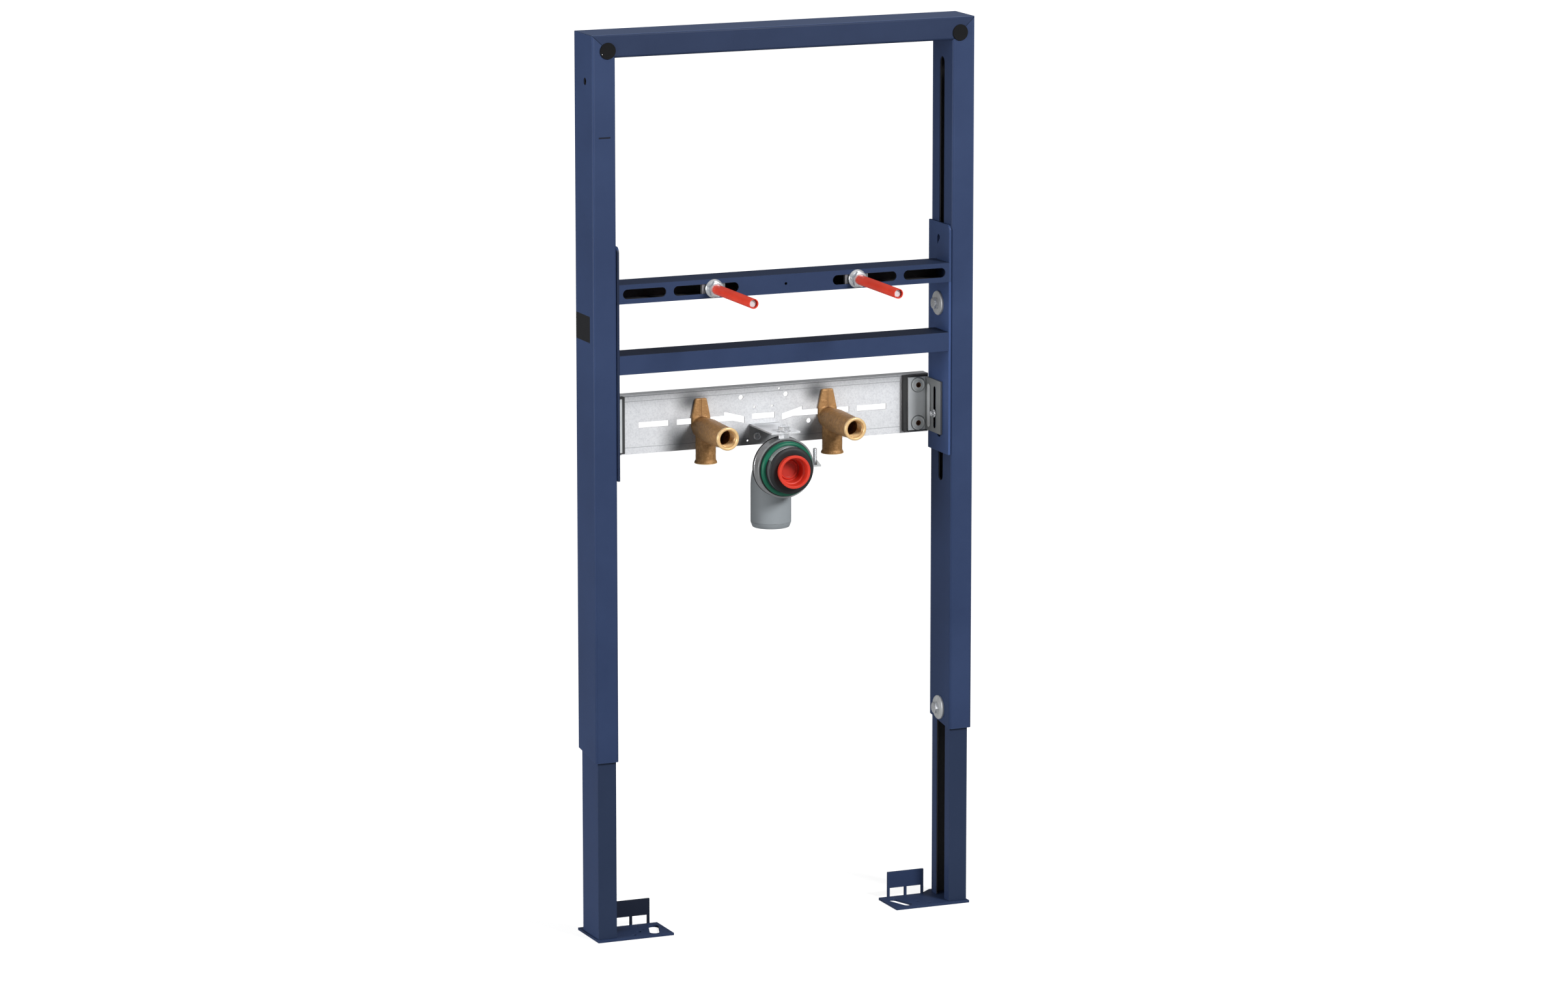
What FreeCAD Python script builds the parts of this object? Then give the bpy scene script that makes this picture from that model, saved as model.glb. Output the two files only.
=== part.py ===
import FreeCAD, Part
import math
import os

import Sketcher

# Basin installation frame: two posts joined by a mitred top rail, legs that slide in the posts,
# a crossbar unit that slides along the post slots and a fittings panel hung on that unit.
# Lengths are in millimetres. X runs to the right, Y away from the viewer and Z up from the floor.

FRAME_SIZES = (
    ("frame_width", 500.0, "overall width over the two posts"),
    ("frame_height", 1110.0, "floor to the top of the top rail"),
    ("post_width", 30.0, "post, seen from the front"),
    ("post_depth", 60.0, "post, front to back"),
    ("post_corner", 3.0, "outer corner radius of the post tube"),
    ("tube_wall", 2.0, "wall of the posts and of the top rail"),
    ("post_foot", 224.0, "floor to the front of the post's lower end"),
    ("post_slant", 9.0, "rise of the lower end from front to back"),
    ("rail_height", 28.0, "top rail, seen from the front"),
    ("post_slot_width", 14.0, "long slot in the inner wall of the post"),
    ("post_slot_rise", 316.0, "centre of the slot's lower round above the post's lower end"),
    ("post_slot_drop", 58.0, "centre of the slot's upper round below the frame's top"),
    ("side_hole_radius", 4.5, "round hole in the outer wall of the post"),
    ("side_hole_back", 24.0, "that hole, behind the post's front face"),
    ("side_hole_drop", 57.0, "that hole, below the frame's top"),
    ("cap_radius", 10.0, "black corner cap"),
    ("cap_thick", 1.5, "corner cap, proud of the front face"),
    ("cap_inset", 20.0, "corner cap centre from the outer edge"),
    ("cap_drop", 19.0, "corner cap centre below the top"),
)

LEG_SIZES = (
    ("leg_width", 24.0, "leg channel, seen from the front"),
    ("leg_depth", 52.0, "leg channel, front to back"),
    ("leg_wall", 2.0, "leg channel wall"),
    ("leg_mouth", 24.4, "open side of the leg channel"),
    ("leg_top", 423.0, "floor to the top of the leg"),
    ("slide_gap", 0.3, "gap between faces that slide"),
    ("foot_thick", 3.0, "foot plate and its tab"),
    ("foot_outer", 1.7, "foot plate inside the post's outer face"),
    ("foot_long", 99.0, "foot plate, side to side"),
    ("foot_front", 1.0, "foot plate, in front of the post's front face"),
    ("foot_deep", 55.5, "foot plate, front to back"),
    ("foot_lug_deep", 14.0, "back lug behind the foot plate"),
    ("foot_lug_flat", 24.0, "back lug, length of its back edge"),
    ("foot_lug_slope", 16.0, "back lug, length of its sloping side"),
    ("foot_tab_inset", 11.0, "tab from the plate's inner end"),
    ("foot_tab_long", 49.0, "tab, side to side"),
    ("foot_tab_high", 32.0, "tab, above the plate"),
    ("foot_window_high", 11.5, "tab windows"),
    ("foot_window_post", 3.0, "uprights beside the tab windows"),
    ("floor_slot_width", 12.2, "diagonal slot for the floor screw"),
    ("floor_slot_run", 9.0, "slot centres apart, side to side"),
    ("floor_slot_rise", 26.0, "slot centres apart, front to back"),
    ("floor_slot_inset", 15.8, "slot centre from the plate's inner end"),
    ("floor_slot_back", 25.2, "slot centre behind the post's front face"),
    ("floor_hole_radius", 3.0, "round holes in the foot plate"),
    ("floor_hole_one", 37.5, "first hole from the plate's inner end"),
    ("floor_hole_one_back", 21.0, "first hole behind the post's front face"),
    ("floor_hole_two", 48.5, "second hole from the plate's inner end"),
    ("floor_hole_two_back", 8.8, "second hole behind the post's front face"),
)

CROSSBAR_SIZES = (
    ("side_thick", 3.0, "side plates of the crossbar unit"),
    ("side_low", 570.0, "floor to the side plate's lower edge"),
    ("side_tall", 285.0, "side plate, up and down"),
    ("side_corner", 7.0, "round at the side plate's upper front corner"),
    ("tear_radius", 3.6, "round head of the teardrop hole"),
    ("tear_back", 31.8, "its head behind the plate's front edge"),
    ("tear_drop", 18.6, "its head below the plate's upper edge"),
    ("tear_tip_back", 35.5, "its tip behind the plate's front edge"),
    ("tear_tip_drop", 28.0, "its tip below the plate's upper edge"),
    ("plate_slot_rise", 24.0, "short slots, centre of the lower round above the plate's lower edge"),
    ("plate_slot_long", 5.0, "short slots, between the centres of their rounds"),
    ("plate_slot_radius", 6.0, "wide short slot"),
    ("plate_slot_back", 28.0, "wide short slot behind the plate's front edge"),
    ("thin_slot_radius", 3.0, "narrow short slot"),
    ("thin_slot_back", 45.6, "narrow short slot behind the plate's front edge"),
    ("basin_rail_rise", 215.5, "slotted rail above the side plate's lower edge"),
    ("lower_rail_rise", 129.5, "plain rail above the side plate's lower edge"),
    ("bar_high", 23.5, "both rails, up and down"),
    ("bar_depth", 40.0, "both rails, front to back"),
    ("bar_wall", 2.0, "wall of both rails"),
    ("bar_lip", 10.8, "inward lips at the back of both rails"),
    ("basin_slot_width", 12.0, "slots in the slotted rail"),
    ("basin_slot_near", 61.8, "inner slot, end nearest the middle"),
    ("basin_slot_web", 9.3, "metal between the inner and the outer slot"),
    ("basin_slot_long", 56.1, "outer slot, end to end"),
    ("basin_slot_edge", 4.7, "outer slot from the rail's end"),
    ("basin_centre_hole", 1.8, "small centre hole radius"),
    ("clamp_back", 30.0, "clamp bolts behind the post's front face"),
    ("upper_clamp_rise", 185.0, "crossbar clamp bolts above the side plate's lower edge"),
    ("lower_clamp_rise", 22.0, "leg clamp bolts above the post's lower end"),
    ("bolt_radius", 4.0, "clamp bolt shank"),
    ("bolt_play", 0.1, "clearance round a shank in its hole"),
    ("bolt_head_flats", 13.0, "clamp bolt head across flats"),
    ("bolt_head_high", 5.3, "clamp bolt head"),
    ("washer_radius", 15.0, "clamp washer"),
    ("washer_thick", 3.0, "clamp washer"),
    ("nut_plate_thick", 6.0, "nut plate behind the wall"),
    ("nut_plate_deep", 32.0, "nut plate, front to back"),
    ("nut_plate_high", 24.0, "nut plate, up and down"),
    ("bolt_past_nut", 4.0, "shank beyond the nut plate"),
    ("wall_hole_play", 1.0, "hole in a wall round a clamp bolt"),
)

STUD_SIZES = (
    ("stud_spread", 188.0, "basin studs, centre to centre"),
    ("stud_radius", 5.0, "basin stud"),
    ("stud_back", 28.0, "stud's back end behind the post's front face"),
    ("stud_reach", 119.0, "stud tip in front of the post's front face"),
    ("sleeve_reach", 123.0, "sleeve tip in front of the post's front face"),
    ("sleeve_wall", 1.0, "red sleeve"),
    ("flange_nut_radius", 11.5, "round flange of the stud nut"),
    ("flange_nut_thick", 3.0, "round flange of the stud nut"),
    ("stud_nut_flats", 17.0, "stud nut across flats"),
    ("stud_nut_thick", 7.0, "stud nut without its flange"),
    ("clamp_plate_long", 30.0, "plate behind the slotted rail's front wall"),
    ("clamp_plate_high", 18.0, "same plate, up and down"),
    ("clamp_plate_thick", 5.0, "same plate"),
)

PANEL_SIZES = (
    ("panel_back", 70.0, "panel front face behind the post's front face"),
    ("panel_flange", 16.0, "panel flanges, front to back"),
    ("panel_past", 4.3, "panel's end beyond the side plate's inner face"),
    ("panel_rise", 18.0, "panel above the side plate's lower edge"),
    ("panel_tall", 73.0, "panel, up and down"),
    ("panel_thick", 1.5, "panel sheet"),
    ("row_rise", 31.6, "slot row above the panel's lower edge"),
    ("row_wide", 7.2, "slot row, up and down"),
    ("row_one_near", 125.0, "outer slot, end nearest the middle"),
    ("row_one_far", 164.5, "outer slot, far end"),
    ("row_two_near", 52.0, "middle slot, end nearest the middle"),
    ("row_two_far", 114.5, "middle slot, far end"),
    ("row_wing_near", 25.0, "slanted slot end, end nearest the middle"),
    ("row_wing_up", 4.7, "slanted slot end, top corner above the row"),
    ("row_wing_down", 3.8, "slanted slot end, lower corner below the row"),
    ("row_wing_drop", 7.3, "fall of the slanted edges"),
    ("row_mid_half", 15.0, "half the centre slot"),
    ("panel_hole_radius", 3.0, "round panel holes"),
    ("panel_hole_side", 29.8, "upper holes from the middle"),
    ("panel_hole_rise", 60.0, "upper holes above the panel's lower edge"),
    ("panel_low_hole_side", 60.3, "lower holes from the middle"),
    ("panel_low_hole_rise", 24.8, "lower holes above the panel's lower edge"),
    ("pin_hole_radius", 1.4, "small panel holes"),
    ("pin_hole_side", 11.8, "small holes from the middle"),
    ("pin_hole_rise", 46.7, "small holes above the panel's lower edge"),
    ("tool_hole_side", 21.0, "tooling holes from the middle, one on each side"),
    ("tool_hole_offset", 31.0, "right one above the panel's middle, left one below it"),
    ("bracket_back", 60.0, "bracket front face behind the post's front face"),
    ("bracket_thick", 2.5, "L brackets"),
    ("bracket_wide", 26.4, "bracket's front flange, side to side"),
    ("bracket_front", 17.7, "bracket side flange starts here"),
    ("bracket_margin", 4.5, "bracket above the panel's lower edge"),
    ("bracket_top_margin", 2.5, "bracket below the panel's upper edge"),
    ("bracket_slot_back", 35.0, "bracket slot behind the post's front face"),
    ("bracket_slot_rise", 8.5, "centre of the slot's lower round above the bracket's lower edge"),
    ("bracket_slot_drop", 11.5, "centre of the slot's upper round below the bracket's upper edge"),
    ("bracket_rib_back", 50.9, "pressed rib behind the post's front face"),
    ("bracket_rib_radius", 4.0, "pressed rib, half its width"),
    ("bracket_rib_proud", 1.2, "pressed rib, proud of the side flange"),
    ("bracket_screw_radius", 3.0, "bracket screw"),
    ("bracket_screw_rise", 46.5, "bracket screw above the side plate's lower edge"),
    ("bracket_screw_flange", 5.0, "bracket screw, radius of its flange"),
    ("bracket_screw_flange_thick", 1.2, "bracket screw flange"),
    ("bracket_screw_end", 3.3, "bracket screw, radius of its round end"),
    ("bracket_screw_end_long", 4.6, "bracket screw, its round end"),
    ("pad_reach", 4.6, "rubber pad beyond the bracket's front flange, towards the middle"),
    ("pad_past", 1.1, "rubber pad beyond the bracket's outer face"),
    ("pad_margin", 2.0, "rubber pad below and above the bracket"),
    ("grommet_radius", 8.6, "grommet"),
    ("grommet_proud", 2.0, "grommet in front of the bracket"),
    ("grommet_hole", 3.4, "grommet hole radius"),
    ("grommet_inset", 13.4, "grommets from the bracket's outer face"),
    ("grommet_rise", 8.8, "lower grommets above the bracket's lower edge"),
    ("grommet_drop", 9.5, "upper grommets below the bracket's upper edge"),
)

FITTING_SIZES = (
    ("elbow_side", 84.0, "tap elbows from the middle"),
    ("elbow_rise", 27.5, "tap outlets above the panel's lower edge"),
    ("elbow_front", 20.0, "outlet face in front of the post's front face"),
    ("elbow_back", 52.0, "elbow's upright behind the post's front face"),
    ("elbow_swell", 38.0, "widest place of the barrel behind the post's front face"),
    ("barrel_radius", 15.0, "barrel at its widest"),
    ("outlet_radius", 14.2, "machined outlet collar"),
    ("outlet_neck", 13.4, "barrel just behind the outlet collar"),
    ("outlet_collar", 4.0, "machined outlet collar, front to back"),
    ("outlet_bore", 10.4, "outlet, inside"),
    ("branch_radius", 12.5, "upright, outside"),
    ("branch_bore", 9.0, "upright, inside"),
    ("branch_drop", 41.5, "elbow's lower end below its outlet axis"),
    ("branch_rim", 14.0, "rim at the lower end"),
    ("branch_rim_high", 2.5, "same rim"),
    ("elbow_tab_top", 36.0, "top of the elbow's tab above its outlet axis"),
    ("elbow_tab_root", 12.5, "foot of the elbow's tab above its outlet axis"),
    ("elbow_tab_half_top", 7.3, "half the tab's width at its top"),
    ("elbow_tab_half_root", 12.4, "half the tab's width at its foot"),
    ("elbow_tab_thick", 4.5, "elbow's tab"),
    ("elbow_crease", 1.0, "ridge down the middle of the tab, proud of it"),
    ("waste_bracket_half", 19.0, "half the waste bracket's width"),
    ("waste_bracket_thick", 2.0, "waste bracket"),
    ("waste_bracket_front", 0.0, "shelf's front edge behind the post's front face"),
    ("waste_flange_rise", 3.0, "lower edge of the bracket's flange above the panel's"),
    ("shelf_rise", 26.5, "top of the shelf above the panel's lower edge"),
    ("shelf_screw_side", 9.8, "screw in the bracket's flange, left of the middle"),
    ("shelf_screw_rise", 11.0, "that screw above the panel's lower edge"),
    ("shelf_screw_radius", 2.5, "that screw's shank"),
    ("shelf_screw_head", 4.6, "that screw's head radius"),
    ("shelf_screw_high", 2.6, "that screw's head"),
    ("shelf_screw_socket", 4.0, "six-sided socket in that head, across flats"),
    ("hanger_back", 7.0, "hanger bolt behind the post's front face"),
    ("hanger_drop", 4.5, "clamp's top below the shelf"),
    ("hanger_nut_flats", 13.0, "coupling nut under the shelf, across flats"),
    ("hanger_radius", 4.0, "hanger bolt shank"),
    ("hanger_head_flats", 13.0, "hanger bolt head across flats"),
    ("hanger_head_high", 5.3, "hanger bolt head"),
    ("hanger_flange_radius", 8.5, "hanger bolt flange"),
    ("hanger_flange_thick", 1.3, "hanger bolt flange"),
    ("bend_radius", 25.0, "grey bend, outside radius of the pipe"),
    ("bend_wall", 3.0, "grey bend wall"),
    ("bend_back", 47.0, "grey bend's upright behind the post's front face"),
    ("bend_turn", 31.0, "grey bend's centre-line radius"),
    ("bend_drop", 80.0, "grey bend's lower end below the waste axis"),
    ("bend_taper", 2.2, "taper of the lower end, off the radius"),
    ("bend_taper_long", 6.0, "taper of the lower end, up and down"),
    ("bend_start", -6.0, "grey bend's front end"),
    ("clamp_front", 0.0, "pipe clamp's front edge"),
    ("clamp_wide", 15.0, "pipe clamp, front to back"),
    ("clamp_thick", 2.0, "pipe clamp band"),
    ("lining_thick", 4.0, "pipe clamp rubber lining"),
    ("lining_lap", 3.0, "lining's rim behind the band"),
    ("lining_rim", 0.8, "lining's rim, proud of the band"),
    ("lining_front", 0.6, "lining in front of the band"),
    ("clamp_inner", 32.0, "inside of the rubber lining"),
    ("collar_radius", 29.0, "rubber collar face"),
    ("collar_front", 19.0, "collar face in front of the post's front face"),
    ("collar_lip", 4.0, "collar's face flange"),
    ("collar_neck", 28.0, "collar's neck"),
    ("clip_radius", 28.9, "hose-clip band"),
    ("clip_front", 15.0, "hose-clip band's front edge"),
    ("clip_wide", 8.5, "hose-clip band, front to back"),
    ("ring_radius", 33.8, "green ring"),
    ("ring_front", 5.0, "green ring's front edge"),
    ("ring_thick", 4.4, "green ring"),
    ("plug_radius", 20.5, "red plug rim"),
    ("plug_front", 28.0, "plug's rim in front of the post's front face"),
    ("plug_rim_thick", 3.0, "plug's rim"),
    ("plug_body_radius", 19.0, "plug's body in the collar"),
    ("plug_cup_radius", 17.0, "plug's cup"),
    ("plug_cup_deep", 20.0, "depth of the plug's cup"),
    ("plug_floor", 2.0, "floor of the plug's cup"),
    ("clamp_ear_past", 6.0, "clamp's ear beyond its screw"),
    ("clamp_ear_thick", 2.0, "clamp's ear"),
    ("clamp_ear_deep", 12.0, "clamp's ear, front to back"),
    ("side_screw_out", 41.5, "clamp's side screw from the middle"),
    ("side_screw_radius", 2.5, "clamp's side screw"),
    ("side_screw_low", -1.6, "its lower end above the waste axis"),
    ("side_screw_high", 20.5, "its upper end above the waste axis"),
)

POST_SIDES = (("left", -1.0), ("right", 1.0))
TEAR_TANGENT, TEAR_FALL = 0.8, 0.6

# Sizes with their formulas

class Size:
    """A length together with the formula that gives it from the sheet."""

    def __init__(self, text, number):
        self.text = text
        self.number = number

    def __add__(self, other):
        other = as_size(other)
        return Size("(%s + %s)" % (self.text, other.text), self.number + other.number)

    def __sub__(self, other):
        other = as_size(other)
        return Size("(%s - %s)" % (self.text, other.text), self.number - other.number)

    def __mul__(self, factor):
        factor = as_size(factor)
        return Size("(%s * %s)" % (self.text, factor.text), self.number * factor.number)

    def __truediv__(self, divisor):
        divisor = as_size(divisor)
        return Size("(%s / %s)" % (self.text, divisor.text), self.number / divisor.number)

    def __neg__(self):
        return self * -1.0

    def __radd__(self, other):
        return as_size(other) + self

    def __rsub__(self, other):
        return as_size(other) - self

    def __rmul__(self, factor):
        return as_size(factor) * self


def as_size(value):
    """Give a plain number the same form as a sheet size."""
    if isinstance(value, Size):
        return value
    return Size("(%r)" % float(value), float(value))


class Sheet:
    """The spreadsheet's values, read by name."""


def fill_sheet(document, tables):
    """Write every named size into the spreadsheet and return them by name."""
    cells = document.addObject("Spreadsheet::Sheet", "sizes")
    named = Sheet()
    row = 0
    for table in tables:
        for name, number, meaning in table:
            row += 1
            cells.set("A%d" % row, name)
            cells.set("B%d" % row, repr(number))
            cells.set("C%d" % row, meaning)
            cells.setAlias("B%d" % row, name)
            setattr(named, name, Size("sizes.%s" % name, number))
    document.recompute()
    return named


document = FreeCAD.newDocument("basin_frame")
s = fill_sheet(
    document, (FRAME_SIZES, LEG_SIZES, CROSSBAR_SIZES, STUD_SIZES, PANEL_SIZES, FITTING_SIZES)
)
made_nodes = []

# Helpers for sketches and features

def bind(target, path, size):
    """Set one property of an object by its formula."""
    target.setExpression(path, as_size(size).text)


def new_body(label, x=0.0, y=0.0, z=0.0):
    """Start a named sub-part whose own origin stands at the given place."""
    body = document.addObject("PartDesign::Body", label)
    body.Label = label
    for axis, value in (("x", x), ("y", y), ("z", z)):
        bind(body, "Placement.Base.%s" % axis, value)
    made_nodes.append(body)
    return body


def new_sketch(body, plane, lift=0.0):
    """Open a sketch on one of the body's own planes, moved along X, Y or Z by lift."""
    drawing = document.addObject("Sketcher::SketchObject", body.Label + "_outline")
    body.addObject(drawing)
    support = [part for part in body.Origin.OriginFeatures if part.Role == plane + "_Plane"][0]
    drawing.AttachmentSupport = [(support, "")]
    drawing.MapMode = "FlatFace"
    if plane == "XZ":
        lift = -as_size(lift)
    bind(drawing, "AttachmentOffset.Base.z", lift)
    return drawing


def pin_point(drawing, item, end, x, y):
    """Hold one end of a sketch item at x and y from the sketch's origin."""
    for kind, value in (("DistanceX", x), ("DistanceY", y)):
        value = as_size(value)
        index = drawing.addConstraint(Sketcher.Constraint(kind, -1, 1, item, end, value.number))
        drawing.setExpression("Constraints[%d]" % index, value.text)


def set_radius(drawing, item, radius):
    """Give a circle or an arc its radius."""
    index = drawing.addConstraint(Sketcher.Constraint("Radius", item, as_size(radius).number))
    drawing.setExpression("Constraints[%d]" % index, as_size(radius).text)


def point_at(x, y):
    """A sketch point from two sizes."""
    return FreeCAD.Vector(as_size(x).number, as_size(y).number, 0.0)


def draw_polygon(drawing, corners):
    """Draw a closed outline with straight sides through the corners."""
    first = drawing.GeometryCount
    count = len(corners)
    for number in range(count):
        start, end = corners[number], corners[(number + 1) % count]
        drawing.addGeometry(Part.LineSegment(point_at(*start), point_at(*end)), False)
    for number in range(count):
        following = first + (number + 1) % count
        drawing.addConstraint(Sketcher.Constraint("Coincident", first + number, 2, following, 1))
    for number, corner in enumerate(corners):
        pin_point(drawing, first + number, 1, *corner)


def draw_box(drawing, x_low, y_low, x_high, y_high):
    """Draw a rectangle."""
    draw_polygon(drawing, ((x_low, y_low), (x_high, y_low), (x_high, y_high), (x_low, y_high)))


def draw_circle(drawing, x, y, radius):
    """Draw a circle."""
    item = drawing.addGeometry(
        Part.Circle(point_at(x, y), FreeCAD.Vector(0, 0, 1), as_size(radius).number), False
    )
    pin_point(drawing, item, 3, x, y)
    set_radius(drawing, item, radius)


def add_arc(drawing, centre, radius, start, end):
    """Add an arc, counter-clockwise from start to end in degrees."""
    circle = Part.Circle(centre, FreeCAD.Vector(0, 0, 1), radius)
    return drawing.addGeometry(
        Part.ArcOfCircle(circle, math.radians(start), math.radians(end)), False
    )


def draw_slot(drawing, x_one, y_one, x_two, y_two, radius):
    """Draw a slot with round ends between two centres."""
    one, two = point_at(x_one, y_one), point_at(x_two, y_two)
    reach = as_size(radius).number
    along = two.sub(one).normalize()
    side = FreeCAD.Vector(-along.y, along.x, 0.0).multiply(reach)
    heading = math.degrees(math.atan2(along.y, along.x))
    line_out = drawing.addGeometry(Part.LineSegment(one.add(side), two.add(side)), False)
    arc_out = add_arc(drawing, two, reach, heading - 90.0, heading + 90.0)
    line_back = drawing.addGeometry(Part.LineSegment(two.sub(side), one.sub(side)), False)
    arc_back = add_arc(drawing, one, reach, heading + 90.0, heading + 270.0)
    for item, end, other, other_end in (
        (line_out, 2, arc_out, 2),
        (arc_out, 1, line_back, 1),
        (line_back, 2, arc_back, 2),
        (arc_back, 1, line_out, 1),
    ):
        drawing.addConstraint(Sketcher.Constraint("Tangent", item, end, other, other_end))
    drawing.addConstraint(Sketcher.Constraint("Equal", arc_out, arc_back))
    pin_point(drawing, arc_back, 3, x_one, y_one)
    pin_point(drawing, arc_out, 3, x_two, y_two)
    set_radius(drawing, arc_out, radius)


def draw_rounded(drawing, x_low, y_low, x_high, y_high, radius):
    """Draw a rectangle with round corners."""
    low, high = point_at(x_low, y_low), point_at(x_high, y_high)
    reach = as_size(radius).number
    ends = (
        ((low.x + reach, low.y), (high.x - reach, low.y)),
        ((high.x, low.y + reach), (high.x, high.y - reach)),
        ((high.x - reach, high.y), (low.x + reach, high.y)),
        ((low.x, high.y - reach), (low.x, low.y + reach)),
    )
    centres = (
        (high.x - reach, low.y + reach),
        (high.x - reach, high.y - reach),
        (low.x + reach, high.y - reach),
        (low.x + reach, low.y + reach),
    )
    sides, arcs = [], []
    for number in range(4):
        start, end = ends[number]
        sides.append(
            drawing.addGeometry(
                Part.LineSegment(FreeCAD.Vector(*start, 0.0), FreeCAD.Vector(*end, 0.0)), False
            )
        )
        turn = -90.0 + 90.0 * number
        arcs.append(
            add_arc(drawing, FreeCAD.Vector(*centres[number], 0.0), reach, turn, turn + 90.0)
        )
    for number in range(4):
        following = (number + 1) % 4
        drawing.addConstraint(Sketcher.Constraint("Tangent", sides[number], 2, arcs[number], 1))
        drawing.addConstraint(Sketcher.Constraint("Tangent", arcs[number], 2, sides[following], 1))
        drawing.addConstraint(
            Sketcher.Constraint("Vertical" if number % 2 else "Horizontal", sides[number])
        )
        if number:
            drawing.addConstraint(Sketcher.Constraint("Equal", arcs[0], arcs[number]))
    set_radius(drawing, arcs[0], radius)
    for kind, side, value in (
        ("DistanceY", sides[0], y_low),
        ("DistanceX", sides[1], x_high),
        ("DistanceY", sides[2], y_high),
        ("DistanceX", sides[3], x_low),
    ):
        value = as_size(value)
        index = drawing.addConstraint(Sketcher.Constraint(kind, -1, 1, side, 1, value.number))
        drawing.setExpression("Constraints[%d]" % index, value.text)


def draw_corner(drawing, x, y, radius):
    """Draw what a round upper left corner takes off a sheet whose corner is at x and y."""
    reach = as_size(radius)
    side, top = (x, y - reach), (x + reach, y)
    across = drawing.addGeometry(Part.LineSegment(point_at(*top), point_at(x, y)), False)
    down = drawing.addGeometry(Part.LineSegment(point_at(x, y), point_at(*side)), False)
    curve = add_arc(drawing, point_at(x + reach, y - reach), reach.number, 90.0, 180.0)
    drawing.addConstraint(Sketcher.Constraint("Coincident", across, 2, down, 1))
    drawing.addConstraint(Sketcher.Constraint("Coincident", down, 2, curve, 2))
    drawing.addConstraint(Sketcher.Constraint("Coincident", curve, 1, across, 1))
    pin_point(drawing, down, 1, x, y)
    pin_point(drawing, across, 1, *top)
    pin_point(drawing, down, 2, *side)
    set_radius(drawing, curve, reach)


def grow(body, drawing, length):
    """Pad a sketch evenly to both sides of its plane."""
    feature = body.newObject("PartDesign::Pad", body.Label + "_pad")
    feature.Profile = drawing
    feature.SideType = "Symmetric"
    bind(feature, "Length", length)
    drawing.Visibility = False
    return feature


def carve(body, drawing, length=None):
    """Cut a sketch evenly to both sides of its plane, right through unless a length is given."""
    feature = body.newObject("PartDesign::Pocket", body.Label + "_pocket")
    feature.Profile = drawing
    feature.SideType = "Symmetric"
    if length is None:
        feature.Type = "ThroughAll"
    else:
        bind(feature, "Length", length)
    drawing.Visibility = False
    return feature


def spin(body, drawing, axis="H_Axis", cut=False, angle=360.0):
    """Turn a sketch about one of its own axes, a full turn unless an angle is given."""
    kind = "Groove" if cut else "Revolution"
    feature = body.newObject("PartDesign::" + kind, body.Label + "_turned")
    feature.Profile = drawing
    feature.ReferenceAxis = (drawing, [axis])
    feature.Angle = angle
    feature.Reversed = angle < 360.0
    drawing.Visibility = False
    return feature


def turned_about_y(label, corners, y, z, x=0.0):
    """A ring or disc about a front-to-back axis: corners are (along, radius)."""
    body = new_body(label, x, y, z)
    drawing = new_sketch(body, "YZ")
    draw_polygon(drawing, corners)
    spin(body, drawing)
    return body


def hexagon(drawing, x, y, flats, flats_up=False):
    """Draw a hexagon whose flats face left and right of the sketch, or up and down."""
    reach = as_size(flats) / 2.0
    corner = as_size(flats) / math.sqrt(3.0)
    if flats_up:
        draw_polygon(
            drawing,
            (
                (x + corner, y), (x + corner / 2.0, y + reach), (x - corner / 2.0, y + reach),
                (x - corner, y), (x - corner / 2.0, y - reach), (x + corner / 2.0, y - reach),
            ),
        )
        return
    draw_polygon(
        drawing,
        (
            (x + reach, y + corner / 2.0), (x, y + corner), (x - reach, y + corner / 2.0),
            (x - reach, y - corner / 2.0), (x, y - corner), (x + reach, y - corner / 2.0),
        ),
    )


# The origin is on the floor, midway between the sleeve tips and the back of the panel flanges

front = (s.sleeve_reach - s.panel_back - s.panel_flange) / 2.0
post_outer = s.frame_width / 2.0
post_inner = post_outer - s.post_width
post_middle = front + s.post_depth / 2.0
rail_low = s.frame_height - s.rail_height
lower_clamp_height = s.post_foot + s.lower_clamp_rise
upper_clamp_height = s.side_low + s.upper_clamp_rise
side_high = s.side_low + s.side_tall
panel_low = s.side_low + s.panel_rise
panel_high = panel_low + s.panel_tall

# Posts and top rail

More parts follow.
